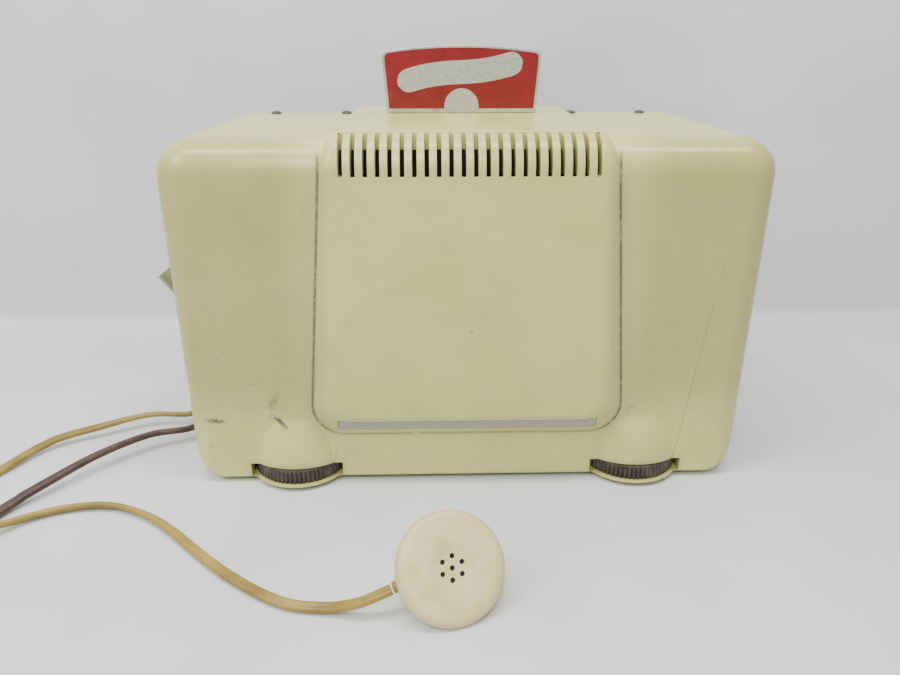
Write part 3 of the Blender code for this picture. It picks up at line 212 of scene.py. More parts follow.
# %% [markdown]
# ## Cords
#
# Both cords are flat twin flex: two insulated strands moulded side by side. A length of flex keeps its
# length, so each one is a single line from its gland to its far end. What lies out of sight is wound
# into a round coil. The line is smoothed through given points, and a figure-of-eight section is
# swept along it, with a slow twist as such flex always has.

# %% Smooth lines and coils
def smooth_line(points, step):
    """Points at an even step along a smooth curve through the given ones."""
    points = [Vector(p) for p in points]
    ends = [2 * points[0] - points[1]] + points + [2 * points[-1] - points[-2]]
    fine = []
    for i in range(1, len(ends) - 2):
        a, b, c, d = ends[i - 1:i + 3]
        for k in range(20):
            t = k / 20
            fine.append(0.5 * (2 * b + (c - a) * t + (2 * a - 5 * b + 4 * c - d) * t * t
                               + (3 * b - a - 3 * c + d) * t ** 3))
    fine.append(points[-1])
    line = [fine[0]]
    rest = step
    for start, end in zip(fine, fine[1:]):
        length = (end - start).length
        while length > 0 and rest <= length:
            line.append(start.lerp(end, rest / length))
            rest += step
        rest -= length
    return line + [fine[-1]]


def turns(centre, start, sweep, stages):
    """Points round a coil. A stage is (share of the sweep, radius, height) and the rest is between."""
    points = []
    count = max(2, round(abs(sweep) / 24))
    for i in range(1, count):
        share = i / count
        for (low, r0, z0), (high, r1, z1) in zip(stages, stages[1:]):
            if low <= share <= high:
                t = (share - low) / (high - low)
                radius, height = r0 + (r1 - r0) * t, z0 + (z1 - z0) * t
        angle = math.radians(start + sweep * share)
        points.append((centre[0] + radius * math.cos(angle), centre[1] + radius * math.sin(angle),
                       height))
    return points


def line_length(line):
    return sum((b - a).length for a, b in zip(line, line[1:]))


# %% [markdown]
# The power cord leaves its gland at the back, passes the case's left side, and goes out of sight to a
# coil of about five turns with the plug lying on it. It winds inwards on the table and back outwards on
# top of itself.

# %% The power cord's line
POWER_WIDTH = 5.4
POWER_ROUTE = [
    (-116.0, 98.6, 14.0), (-116.2, 108.0, 12.6), (-119.0, 121.0, 7.5), (-127.0, 131.5, 3.6),
    (-140.0, 135.5, 3.0), (-152.0, 129.0, 3.0), (-157.5, 113.0, 3.0), (-158.5, 88.0, 3.0),
    (-157.0, 58.0, 3.4), (-154.0, 28.0, 4.6), (-153.0, 2.0, 6.4), (-157.0, -24.2, 8.0),
    (-178.7, -35.6, 9.5), (-198.5, -54.8, 9.0), (-214.7, -77.0, 7.0), (-229.4, -97.8, 4.0),
    (-237.5, -121.0, 3.0), (-239.8, -147.0, 3.0), (-239.0, -172.0, 3.0), (-236.0, -193.6, 3.0)]
POWER_SWEEP = -360.0 * 5 - 191.6
power_stages = [(0.0, 46.5, 3.0), (0.04, 41.0, 3.0), (0.53, 24.0, 3.0), (0.57, 24.0, 8.8),
                (1.0, 42.0, 9.2)]
power_points = POWER_ROUTE + turns((-282.0, -203.0), 11.6, POWER_SWEEP, power_stages)
power_points += [(-324.0, -200.0, 9.3), (-323.8, -188.0, 10.0), (-320.5, -172.0, 11.5),
                 (-311.5, -161.8, 13.4), (-300.0, -160.4, 15.4), (-289.5, -166.0, 17.2),
                 (-283.6, -175.0, 18.2), (-282.0, -183.0, 18.4), (-282.0, -188.6, 18.4)]
power_line = smooth_line(power_points, 3.0)
print("power cord:", round(line_length(power_line)), "mm")

# %% [markdown]
# The speaker's cord passes its left side too, winds into a coil beside the other one, then comes back
# across the table to the small speaker.

# %% The speaker cord's line
SPEAKER_WIDTH = 4.8
SPEAKER_ROUTE = [
    (-96.0, 98.6, 14.0), (-96.2, 109.0, 12.8), (-99.0, 124.0, 8.0), (-107.0, 139.0, 3.6),
    (-121.0, 148.5, 3.0), (-139.0, 150.5, 3.0), (-156.0, 145.0, 3.0), (-168.0, 130.0, 3.0),
    (-171.5, 108.0, 3.0), (-171.0, 78.0, 3.0), (-167.0, 44.0, 3.6), (-162.0, 16.0, 5.2),
    (-163.8, -6.2, 7.0), (-188.6, -8.7, 8.0), (-213.0, -21.0, 7.0), (-235.7, -34.3, 5.0),
    (-249.7, -60.7, 3.5), (-255.5, -70.5, 3.0), (-264.0, -77.0, 3.0), (-274.6, -78.4, 3.0)]
RETURN_ROUTE = [
    (-253.6, -146.2, 3.2), (-245.0, -136.4, 7.8), (-236.8, -127.6, 9.9), (-229.5, -119.3, 8.2),
    (-222.4, -111.2, 4.8), (-214.0, -103.4, 3.2), (-205.0, -98.4, 3.0), (-195.0, -95.2, 3.0),
    (-183.2, -93.8, 3.0), (-170.0, -95.9, 3.0), (-155.0, -103.6, 3.0), (-141.7, -113.9, 3.0),
    (-130.5, -124.6, 3.0), (-119.9, -134.6, 3.0), (-108.1, -144.9, 3.0), (-95.1, -154.6, 3.0),
    (-83.2, -161.8, 3.0), (-74.0, -165.2, 3.0), (-65.0, -166.6, 3.2), (-56.0, -168.0, 4.6),
    (-48.0, -169.6, 7.6), (-40.8, -169.7, 11.0), (-34.8, -167.6, 12.4)]
SPEAKER_SWEEP = 360.0 * 5 + 245.7
speaker_stages = [(0.0, 42.0, 3.0), (0.03, 36.4, 3.0), (0.44, 24.4, 3.0), (0.48, 24.4, 8.7),
                  (0.93, 36.4, 8.7), (0.97, 41.0, 7.6), (1.0, 42.4, 3.6)]
speaker_points = SPEAKER_ROUTE + turns((-286.0, -119.0), 74.3, SPEAKER_SWEEP, speaker_stages)
speaker_line = smooth_line(speaker_points + RETURN_ROUTE, 3.0)
print("speaker cord:", round(line_length(speaker_line)), "mm")

# %% [markdown]
# The section has two round lobes with a groove above and below. Its sides are set by the run of the
# line, and where the cord lies on its flat side it sinks to the table.

# %% Twin flex
def twin_flex(name, line, width, twist):
    """Sweeps two joined lobes along a line. twist is the greatest lean in degrees."""
    lobe = width * 0.25
    section = []
    for side in (1, -1):
        for k in range(9):
            angle = math.radians(-116 + 29 * k)
            section.append((side * (lobe + lobe * math.cos(angle)), side * 1.22 * lobe * math.sin(angle)))
    bm = bmesh.new()
    rings = []
    for i, place in enumerate(line):
        along = (line[min(i + 1, len(line) - 1)] - line[max(i - 1, 0)]).normalized()
        across = along.cross(Vector((0, 0, 1))).normalized()
        upward = across.cross(along)
        lean = math.radians(twist * math.sin(i * 0.055 + 0.8) * math.sin(i * 0.021))
        sink = (width / 2 - 1.22 * lobe) * math.cos(lean) ** 2 * (1 if place.z < 5 else 0.6)
        centre = place - Vector((0, 0, min(sink, max(0.0, place.z - 1.22 * lobe - 0.2))))
        ring = []
        for x, z in section:
            side = x * math.cos(lean) - z * math.sin(lean)
            rise = x * math.sin(lean) + z * math.cos(lean)
            ring.append(bm.verts.new(centre + across * side + upward * rise))
        rings.append(ring)
    for ring, following in zip(rings, rings[1:]):
        for k in range(len(ring)):
            j = (k + 1) % len(ring)
            bm.faces.new((ring[k], ring[j], following[j], following[k]))
    bm.faces.new(rings[0])
    bm.faces.new(rings[-1])
    return finished(name, bm)


# %% [markdown]
# Every new piece is finished in the same way: scaled to metres, its faces turned outwards, and given a
# mesh object at the origin.

# %% Finishing a mesh
def finished(name, bm, smooth=True):
    """Makes an object of a bmesh in millimetres."""
    bmesh.ops.scale(bm, vec=(MM, MM, MM), verts=bm.verts)
    bmesh.ops.recalc_face_normals(bm, faces=bm.faces)
    for face in bm.faces:
        face.smooth = smooth
    mesh = bpy.data.meshes.new(name)
    bm.to_mesh(mesh)
    bm.free()
    obj = bpy.data.objects.new(name, mesh)
    bpy.context.scene.collection.objects.link(obj)
    return obj


def dress(obj, finish, slot, body, *nodes):
    """Gives a new piece its finish, its body, and the model's pieces that it stands for."""
    obj.data.materials.clear()
    obj.data.materials.append(finish.material)
    if body:
        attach(obj, body)
    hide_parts(*nodes)
    print(obj.name, len(obj.data.polygons), "faces")


# %% [markdown]
# Old vinyl flex is rarely one colour. The brown cord is nearly opaque and a little dusty. The gold one
# is translucent, so the copper strands inside show as fine streaks of a redder brown, and it has gone
# darker where hands have held it.

# %% Cord finishes
brown_flex = Finish("brown_flex", (0.06, 0.03, 0.02), 0.42, Specular_IOR_Level=0.45)
brown_wear = brown_flex.noise(9.0, 4.0)
brown_flex.set("Base Color", brown_flex.mix(brown_wear.fade(0.35, 0.7), (0.075, 0.036, 0.025),
                                           (0.033, 0.018, 0.013)))
brown_flex.set("Roughness", 0.3 + 0.3 * brown_flex.noise(4.0))
brown_flex.relief(brown_flex.noise(1.6, 2.0), 0.12)

gold_flex = Finish("gold_flex", (0.4, 0.27, 0.07), 0.32, Specular_IOR_Level=0.5)
gold_tone = gold_flex.noise(24.0, 4.0)
gold_grain = gold_flex.noise(2.2, 3.0)
gold_base = gold_flex.mix(gold_tone.fade(0.36, 0.66), (0.34, 0.235, 0.035), (0.21, 0.14, 0.016))
gold_flex.set("Base Color", gold_flex.mix(gold_grain.fade(0.5, 0.75) * 0.5, gold_base,
                                         (0.13, 0.07, 0.01)))
gold_flex.set("Roughness", 0.24 + 0.22 * gold_flex.noise(5.0))
gold_flex.relief(gold_flex.noise(1.8, 2.0), 0.1)

# %% The two cords
power_flex = twin_flex("power_flex", power_line, POWER_WIDTH, 20.0)
dress(power_flex, brown_flex, "brown_cord", "case", "power_cord", "power_coil")
power_line[0] * MM
[p * MM for p in power_line]

speaker_flex = twin_flex("speaker_flex", speaker_line, SPEAKER_WIDTH, 55.0)
dress(speaker_flex, gold_flex, "gold_cord", None, "speaker_cord", "speaker_coil",
      "speaker_cord_end")
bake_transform(speaker_flex)
speaker_line[0] * MM
[p * MM for p in speaker_line]

# %% [markdown]
# ## The case
#
# The case is moulded from one plastic, so it is cut and joined from plain solids first, and only then
# are its edges rounded a little, as a mould rounds them. Working solids are joined with Boolean
# modifiers, and `settle` turns the result into a plain mesh.

# %% Joining and cutting
def carve(target, cutter, operation):
    """Joins a working object to another, or cuts it out."""
    change = target.modifiers.new(operation.lower(), "BOOLEAN")
    change.operation = operation
    change.solver = "EXACT"
    change.object = cutter
    cutter.hide_render = True
    return target


def settle(obj, *cutters):
    """Applies an object's modifiers and removes the cutters."""
    bpy.context.view_layer.update()
    seen = obj.evaluated_get(bpy.context.evaluated_depsgraph_get())
    mesh = bpy.data.meshes.new_from_object(seen)
    obj.modifiers.clear()
    obj.data = mesh
    for cutter in cutters:
        bpy.data.objects.remove(cutter, do_unlink=True)
    return obj


def box(x, y, z, rounding=0.0, segments=3):
    """A bmesh box between low and high values on each axis."""
    bm = bmesh.new()
    bmesh.ops.create_cube(bm, size=1.0)
    bmesh.ops.scale(bm, vec=(x[1] - x[0], y[1] - y[0], z[1] - z[0]), verts=bm.verts)
    bmesh.ops.translate(bm, vec=((x[0] + x[1]) / 2, (y[0] + y[1]) / 2, (z[0] + z[1]) / 2),
                        verts=bm.verts)
    if rounding:
        bmesh.ops.bevel(bm, geom=bm.edges, offset=rounding, segments=segments, profile=0.5,
                        affect="EDGES", material=-1)
    return bm


def round_edges(obj, width, segments=2, angle=28.0):
    """A small round on every sharp edge, with smooth shading that leaves broad faces flat."""
    bm = bmesh.new()
    bm.from_mesh(obj.data)
    bmesh.ops.remove_doubles(bm, verts=bm.verts, dist=0.00004)
    bmesh.ops.dissolve_degenerate(bm, edges=bm.edges, dist=0.00002)
    bm.to_mesh(obj.data)
    bm.free()
    obj.data.shade_smooth()
    bevel = obj.modifiers.new("edges", "BEVEL")
    bevel.width = width * MM
    bevel.segments = segments
    bevel.limit_method = "ANGLE"
    bevel.angle_limit = math.radians(angle)
    bevel.use_clamp_overlap = False
    settle(obj)
    obj.data.set_sharp_from_angle(angle=math.radians(angle + 4.0))
    flat = obj.modifiers.new("flat", "WEIGHTED_NORMAL")
    flat.keep_sharp = True
    flat.weight = 90
    return settle(obj)


# %% [markdown]
# The front shell is a shallow tray with big round corners. A cube gives it: its four long edges get the
# corner radius, then the rim of the front face gets its own, and the wall is grown inwards.

# %% The front tray
CASE_HALF, CASE_TOP, CASE_BOTTOM = 144.0, 174.5, 2.2
FRONT_Y, SEAM_Y, REAR_Y = -71.0, -49.5, 74.0
STRIP_HALF, STRIP_TOP = 61.5, 178.0
WALL = 2.8


def narrow_foot_edge(bm):
    """Along the foot the front's edge is nearly sharp, so its round is drawn in there."""
    for vert in bm.verts:
        drop = CASE_BOTTOM + 17.0 - vert.co.z
        if drop <= 0 or vert.co.y > SEAM_Y - 0.01:
            continue
        out = max(0.0, abs(vert.co.x) - (CASE_HALF - 17.0))
        reach = math.hypot(out, drop)
        turn = math.atan2(drop, out) / (math.pi / 2)
        narrow = 1 - (1 - 2.5 / 15.0) * turn * turn * (3 - 2 * turn)
        grow = (17.0 - (17.0 - reach) * narrow) / reach
        vert.co.x += math.copysign(out * (grow - 1), vert.co.x)
        vert.co.z = CASE_BOTTOM + 17.0 - drop * grow
        vert.co.y = FRONT_Y + (vert.co.y - FRONT_Y) * narrow


def rounded_block(inset, back):
    """The front's outline moved in by the inset, from its front face to the given back."""
    front = FRONT_Y + inset
    bm = box((inset - CASE_HALF, CASE_HALF - inset), (front, back),
             (CASE_BOTTOM + inset, CASE_TOP - inset))
    long_edges = [e for e in bm.edges if abs(e.verts[0].co.y - e.verts[1].co.y) > 10]
    bmesh.ops.bevel(bm, geom=long_edges, offset=17.0 - inset, segments=14, profile=0.5,
                    affect="EDGES", material=-1)
    rim = [e for e in bm.edges if all(v.co.y < front + 0.1 for v in e.verts)]
    bmesh.ops.bevel(bm, geom=rim, offset=15.0 - inset, segments=12, profile=0.5,
                    affect="EDGES", material=-1)
    return bm


def front_tray():
    outside = rounded_block(0.0, SEAM_Y)
    narrow_foot_edge(outside)
    tray = finished("front_case", outside)
    hollow = finished("hollow", rounded_block(WALL, SEAM_Y + 1.0))
    return settle(carve(tray, hollow, "DIFFERENCE"), hollow)


front_case = front_tray()
print("tray:", len(front_case.data.polygons), "faces")


# %% [markdown]
# The raised panel starts as a strip on the roof, bends over the front edge, widens a little on its way
# down, and ends in two round lower corners above the dial. It is lofted: one ring of points for each
# station along its rim, joined ring to ring with `bridge_loops`.

# %% The raised panel
def panel_stations():
    """The rim as (face half width, y, z, skirt half width, skirt y, skirt z)."""
    stations = [(STRIP_HALF, SEAM_Y, STRIP_TOP, STRIP_HALF + 3.0, SEAM_Y, CASE_TOP - 1.0)]
    for step in range(13):
        angle, share = math.radians(90 - 7.5 * step), step / 12
        stations.append((STRIP_HALF + 3.0 * share, -58.0 - 17.0 * math.cos(angle),
                         STRIP_TOP - 17.0 + 17.0 * math.sin(angle), 64.5 + 4.5 * share,
                         -56.0 - 14.0 * math.cos(angle), 159.5 + 14.0 * math.sin(angle)))
    foot = 28.5 - 12.5 / 7.0
    for step in range(13):
        angle = math.radians(7.5 * step)
        stations.append((68.0 - 9.0 * (1 - math.cos(angle)), FRONT_Y - 7.0, 50.0 - 9.0 * math.sin(angle),
                         80.0 - 18.0 * (1 - math.cos(angle)), FRONT_Y + 1.0,
                         foot + 18.0 * (1 - math.sin(angle))))
    return stations


def raised_panel():
    bm = bmesh.new()
    loops = []
    for half, y, z, skirt_half, skirt_y, skirt_z in panel_stations():
        corner, skirt = Vector((half, y, z)), Vector((skirt_half, skirt_y, skirt_z))
        reach = min(4.0, 0.6 * (skirt - corner).length)
        inset = corner - Vector((4.0, 0, 0))
        side = corner.lerp(skirt, reach / (skirt - corner).length)
        right = [skirt]
        for k in range(8):
            t = k / 7
            right.append(side * (1 - t) ** 2 + corner * 2 * t * (1 - t) + inset * t ** 2)
        points = right + [Vector((-p.x, p.y, p.z)) for p in reversed(right)]
        ring = [bm.verts.new(p) for p in points]
        loops.append([bm.edges.new((a, b)) for a, b in zip(ring, ring[1:] + ring[:1])])
    for first, second in zip(loops, loops[1:]):
        bmesh.ops.bridge_loops(bm, edges=first + second)
    bmesh.ops.holes_fill(bm, edges=loops[0] + loops[-1], sides=0)
    return finished("panel", bm)


panel = raised_panel()
print("panel:", len(panel.data.polygons), "faces")

# %% [markdown]
# Over each thumbwheel the case swells out like half an egg, and under it a thin round lip runs forward.
# The swelling is a sphere stretched to an egg, cut by the case's front and by the wheel's upper side.

# %% Swellings and lips over and under the wheels
WHEEL_X, WHEEL_Y, WHEEL_RADIUS = 89.1, -55.0, 24.5
WHEEL_LOW, WHEEL_HIGH = 3.7, 10.7


def half_egg(side):
    bm = bmesh.new()
    bmesh.ops.create_uvsphere(bm, u_segments=72, v_segments=36, radius=1.0)
    bmesh.ops.scale(bm, vec=(30.5, 27.3, 42.3), verts=bm.verts)
    bmesh.ops.translate(bm, vec=(side * WHEEL_X, -50.0, 11.0), verts=bm.verts)
    for point, away in (((0, FRONT_Y + 1.5, 0), (0, 1, 0)), ((0, 0, 10.95), (0, 0, -1))):
        geometry = bm.verts[:] + bm.edges[:] + bm.faces[:]
        split = bmesh.ops.bisect_plane(bm, geom=geometry, plane_co=point, plane_no=away,
                                       clear_outer=True, dist=0.0001)
        rim = [e for e in split["geom_cut"] if isinstance(e, bmesh.types.BMEdge)]
        bmesh.ops.holes_fill(bm, edges=rim, sides=0)
    return finished("egg", bm)


def disc(radius, low, high, x, y, segments=96):
    bm = bmesh.new()
    bmesh.ops.create_cone(bm, cap_ends=True, segments=segments, radius1=radius, radius2=radius,
                          depth=high - low)
    bmesh.ops.translate(bm, vec=(x, y, (low + high) / 2), verts=bm.verts)
    return bm


def lip(side):
    bm = disc(WHEEL_RADIUS + 1.6, CASE_BOTTOM + 0.03, 3.45, side * WHEEL_X, WHEEL_Y)
    split = bmesh.ops.bisect_plane(bm, geom=bm.verts[:] + bm.edges[:] + bm.faces[:],
                                   plane_co=(0, SEAM_Y - 2.0, 0), plane_no=(0, 1, 0),
                                   clear_outer=True, dist=0.0001)
    rim = [e for e in split["geom_cut"] if isinstance(e, bmesh.types.BMEdge)]
    bmesh.ops.holes_fill(bm, edges=rim, sides=0)
    return finished("lip", bm)


additions = [panel] + [shape(side) for shape in (half_egg, lip) for side in (-1, 1)]
for addition in additions:
    carve(front_case, addition, "UNION")
settle(front_case, *additions)
print("front case:", len(front_case.data.polygons), "faces")

# %% [markdown]
# Then the openings: a wide shallow notch and a round pocket for each wheel, the hollow behind the panel,
# 22 slots in the panel's bend, and the dial window, which is cut square to its own slope.

# %% Openings in the front
DIAL_TILT = math.atan2(7.0, 12.5)
DIAL_PLACE = Matrix.Translation((0, -74.29, 34.375)) @ Matrix.Rotation(DIAL_TILT, 4, "X")


def on_dial(bm):
    bmesh.ops.transform(bm, matrix=DIAL_PLACE, verts=bm.verts)
    return bm


cutters = []
for side in (-1, 1):
    middle = side * WHEEL_X
    cutters.append(finished("notch", box((middle - 23.8, middle + 23.8), (-86, SEAM_Y + 4),
                                         (3.4, 11.0))))
    cutters.append(finished("pocket", disc(WHEEL_RADIUS + 0.8, 3.42, 11.03, middle, WHEEL_Y)))
cutters.append(finished("hollow", box((-56, 56), (FRONT_Y - 1.3, SEAM_Y), (50, 160))))
slots = bmesh.new()
for number in range(22):
    x = (number - 10.5) * 5.49
    slot = box((x - 1.0, x + 1.0), (-84, -62.5), (159.5, 182))
    piece = bpy.data.meshes.new("slot")
    slot.to_mesh(piece)
    slot.free()
    slots.from_mesh(piece)
cutters.append(finished("slots", slots))
cutters.append(finished("window", on_dial(box((-66, 66), (-7, 13), (-3.95, 3.95)))))
for cutter in cutters:
    carve(front_case, cutter, "DIFFERENCE")
settle(front_case, *cutters)
round_edges(front_case, 0.35)
print("front case with openings:", len(front_case.data.polygons), "faces")

# %% [markdown]
# Behind the slots hangs a dark sheet with a woven pattern: painted shade that darkens the view into the
# case.

# %% Painted shade behind the slots
slot_shade_finish = Finish("slot_shade_sheet", (0.05, 0.035, 0.025), 0.9)
threads = slot_shade_finish.axes()
weave = (threads[0] * 9.0).sine() * (threads[2] * 9.0).sine()
slot_shade_finish.set("Base Color", slot_shade_finish.mix(weave.fade(-0.5, 0.5), (0.020, 0.013, 0.009), (0.065, 0.045, 0.030)))
slot_shade_finish.relief(weave, 0.1)
slot_shade_sheet = finished("slot_shade_sheet", box((-62.5, 62.5), (-61.6, -61.0), (150.0, 171.0)), smooth=False)
dress(slot_shade_sheet, slot_shade_finish, "brown_plastic", "case")

# %% [markdown]
# The rear shell has the same outline seen from the front, but it is open behind and below. A line of
# points is extruded backwards and given its wall. The strip on its roof carries on from the panel.

# %% The rear shell
def rear_outline():
    flat, radius = CASE_HALF - 17.0, 17.0
    line = [(flat - 6.0, CASE_BOTTOM)]
    for centre_z, start in ((CASE_BOTTOM + radius, -90), (CASE_TOP - radius, 0)):
        for k in range(15):
            angle = math.radians(start + 90 * k / 14)
            line.append((flat + radius * math.cos(angle), centre_z + radius * math.sin(angle)))
    return line + [(-x, z) for x, z in reversed(line)]


def rear_shell():
    front = SEAM_Y + 0.4
    bm = bmesh.new()
    line = [bm.verts.new((x, front, z)) for x, z in rear_outline()]
    edges = [bm.edges.new(pair) for pair in zip(line, line[1:])]
    grown = bmesh.ops.extrude_edge_only(bm, edges=edges)["geom"]
    moved = [v for v in grown if isinstance(v, bmesh.types.BMVert)]
    bmesh.ops.translate(bm, vec=(0, REAR_Y - front, 0), verts=moved)
    shell = finished("rear_case", bm)
    if shell.data.polygons[len(shell.data.polygons) // 2].normal.z < 0:
        shell.data.flip_normals()
    wall = shell.modifiers.new("wall", "SOLIDIFY")
    wall.thickness = WALL * MM
    wall.offset = -1
    settle(shell)
    strip = finished("strip", box((-STRIP_HALF, STRIP_HALF), (front, REAR_Y), (CASE_TOP - 1, STRIP_TOP)))
    holes = [finished("slot", box((-11.25, 11.25), (49.5, 54.5), (167, 182)))]
    holes += [finished("hole", disc(1.9, 167, 181, x, 67.0, 24)) for x in (-112, -69, 69, 112)]
    holes += [finished("hole", disc(1.9, 167, 181, x, 35.5, 24)) for x in (-30, 30)]
    carve(shell, strip, "UNION")
    for hole in holes:
        carve(shell, hole, "DIFFERENCE")
    return settle(shell, strip, *holes)


rear_case = round_edges(rear_shell(), 0.4)
print("rear case:", len(rear_case.data.polygons), "faces")

# %% [markdown]
# ## Old cream plastic
#
# The plastic is a slightly green cream, glossy where it is clean. Age has left it cloudy: warm patches,
# a dull film, dirt in the seam and round the slots, a few dark scuffs and pinpoint specks. Painted shade
# darkens the foot of the raised panel, where a thin line is dirt as well, the wheel notches and the front
# beside the panel. These marks follow the shape, so they are worked out from the same sizes as the shape:
# the distance to the seam, to the foot of the raised panel, and to the edges of the wheel notches.

# %% Cream plastic
def crease(x, z, half_low, half_high, corner, foot):
    """Distance from the line round the panel's foot, in millimetres."""
    half = half_high + (half_low - half_high) * (159.5 - z).over(0.0) / 115.0
    out = (abs(x) - (half - corner)).over(0.0)
    below = (foot + corner - z).over(0.0)
    return abs((out * out + below * below) ** 0.5 - corner)


def scuff(finish, x, z, at, length, width, lean):
    """A rubbed mark: an ellipse with a ragged edge."""
    c, s = math.cos(math.radians(lean)), math.sin(math.radians(lean))
    along = (x - at[0]) * c + (z - at[1]) * s
    across = (z - at[1]) * c - (x - at[0]) * s
    ragged = finish.noise(1.5, 4.0) * 1.3
    reach = (along * along / length ** 2 + across * across / width ** 2) ** 0.5
    return (reach + ragged).fade(1.45, 0.75)


cream = Finish("cream_plastic", (0.6, 0.56, 0.34), 0.3, Specular_IOR_Level=0.5)
x, y, z = cream.axes()
patches = cream.noise(55.0, 3.0).fade(0.38, 0.68)
smudges = cream.noise(16.0, 5.0, 0.65).fade(0.5, 0.78)
body = cream.mix(patches, (0.60, 0.595, 0.20), (0.55, 0.54, 0.17))
body = cream.mix(smudges * 0.3, body, (0.38, 0.355, 0.17))
# Painted shade: the front beside the raised panel is made darker, as if less light reaches it there.
flank_shade = abs(x).fade(64.0, 92.0) * y.fade(-45.0, -60.0) * z.fade(26.0, 60.0)
body = cream.mix(flank_shade * 0.5, body, (0.28, 0.25, 0.085))
front_only = y.fade(FRONT_Y + 6.0, FRONT_Y + 1.0)
ragged = cream.noise(3.0, 4.0)
foot_line = crease(x, z, 78.5, 68.1, 18.0, 28.2)
# Round the foot of the raised panel: a thin ragged line that is grime and painted shade together, and a
# broad soft band of painted shade.
crease_line_grime_and_shade = foot_line.fade(1.3, 0.0) * front_only * z.fade(20.0, 34.0) * ragged.fade(0.1, 0.55)
crease_shade_band = foot_line.fade(9.0, 0.0) * front_only * z.fade(20.0, 34.0)
seam_dirt = abs(y - (SEAM_Y + 0.2)).fade(0.9, 0.2) * ragged.fade(0.2, 0.5)
slot_dirt = abs(x).fade(63.0, 60.0) * z.fade(157.0, 162.0) * y.fade(-59.0, -64.0)
# Painted shadow: the case in the wheel notches and the lips under the wheels are darkened where the wheels
# shade them.
notch_shadow = abs(abs(x) - WHEEL_X).fade(27.0, 24.0) * z.fade(15.0, 10.0) * y.fade(-50.0, -60.0)
body = cream.mix(crease_shade_band * 0.45, body, (0.37, 0.335, 0.17))
body = cream.mix(crease_line_grime_and_shade * 0.9, body, (0.07, 0.055, 0.03))
body = cream.mix(seam_dirt * 0.3, body, (0.30, 0.25, 0.10))
body = cream.mix(slot_dirt * 0.25, body, (0.40, 0.34, 0.16))
body = cream.mix(notch_shadow * 0.3, body, (0.30, 0.24, 0.11))
specks = cream.noise(2.6, 2.0).fade(0.735, 0.77) * cream.noise(30.0).fade(0.45, 0.6)
marks = specks * 0.8
for at, length, width, lean, strength in (
        ((-95.5, 36.0), 9.0, 2.4, -36.0, 1.0), ((-98.0, 47.0), 10.0, 4.0, 62.0, 0.5),
        ((-128.5, 36.5), 9.0, 2.6, -4.0, 0.95), ((-107.0, 57.0), 6.0, 0.8, 12.0, 0.4),
        ((84.0, 42.0), 6.0, 2.0, 35.0, 0.3), ((-132.0, 22.0), 3.0, 2.0, 20.0, 0.3)):
    marks = marks.over(scuff(cream, x, z, at, length, width, lean) * front_only * strength)
body = cream.mix(marks, body, (0.09, 0.08, 0.06))
cream.set("Base Color", body)
film = 0.20 + 0.16 * cream.noise(22.0, 4.0) + 0.12 * smudges + 0.3 * marks
cream.set("Roughness", (film + 0.35 * crease_line_grime_and_shade).under(0.9))
fine = cream.noise(2.5, 2.0) * 0.05 + cream.noise(45.0, 2.0) * 1.2
cream.relief(fine, 0.2)
dress(front_case, cream, "cream_case", "case", "front_shell")
dress(rear_case, cream, "cream_case", "case", "rear_shell")

# %% [markdown]
# ## Thumbwheels
#
# Each wheel is a thick brown disc with fine ribs. Its rim is a circle whose points step in and out, which
# is made a solid by giving it depth. The upper and lower corners of the ribs are rounded a little.

# %% Thumbwheels
def thumbwheel(name, side):
    bm = bmesh.new()
    ribs, steps = 66, 6
    bmesh.ops.create_circle(bm, cap_ends=True, segments=ribs * steps, radius=WHEEL_RADIUS)
    for vert in bm.verts:
        turn = math.atan2(vert.co.y, vert.co.x) * ribs / (2 * math.pi)
        dip = max(0.0, math.cos(2 * math.pi * turn) - 0.1) ** 0.5
        vert.co.xy *= 1.0 - 0.85 * dip / WHEEL_RADIUS
    grown = bmesh.ops.extrude_face_region(bm, geom=bm.faces[:])["geom"]
    top = [v for v in grown if isinstance(v, bmesh.types.BMVert)]
    bmesh.ops.translate(bm, vec=(0, 0, WHEEL_HIGH - WHEEL_LOW), verts=top)
    rims = [e for e in bm.edges if abs(e.verts[0].co.z - e.verts[1].co.z) < 0.1]
    bmesh.ops.bevel(bm, geom=rims, offset=0.35, segments=2, profile=0.5, affect="EDGES", material=-1)
    bmesh.ops.translate(bm, vec=(side * WHEEL_X, WHEEL_Y, WHEEL_LOW), verts=bm.verts)
    wheel = finished(name, bm)
    bore = finished("bore", disc(3.3, 0, 15, side * WHEEL_X, WHEEL_Y, 32))
    settle(carve(wheel, bore, "DIFFERENCE"), bore)
    wheel.data.shade_smooth()
    wheel.data.set_sharp_from_angle(angle=math.radians(40))
    return wheel


brown = Finish("brown_plastic", (0.05, 0.035, 0.028), 0.36, Specular_IOR_Level=0.5)
dust = brown.noise(7.0, 4.0).fade(0.4, 0.75)
brown.set("Base Color", brown.mix(dust * 0.6, (0.035, 0.026, 0.022), (0.105, 0.085, 0.068)))
brown.set("Roughness", 0.30 + 0.25 * brown.noise(5.0, 3.0))
brown.relief(brown.noise(1.2, 2.0), 0.05)
dress(thumbwheel("volume_disc", -1), brown, "brown_plastic", "volume_knob", "volume_wheel")
dress(thumbwheel("tuning_disc", 1), brown, "brown_plastic", "tuning_knob", "tuning_wheel")

# %% [markdown]
# ## The coin sign
#
# The sign is sheet aluminium with a low arched top, bent back along its foot and riveted to the roof.
# Its face is printed in red, and bare metal shows as a border, a curved band and a disc like a coin.
# The outline is a polygon with rounded corners, the printed field is an inset of it, and the band and the
# disc are thin shapes of bare metal on the field.

# %% The sign's outline
SIGN_FOOT, SIGN_FRONT = STRIP_TOP + 0.3, 28.0 - 0.5


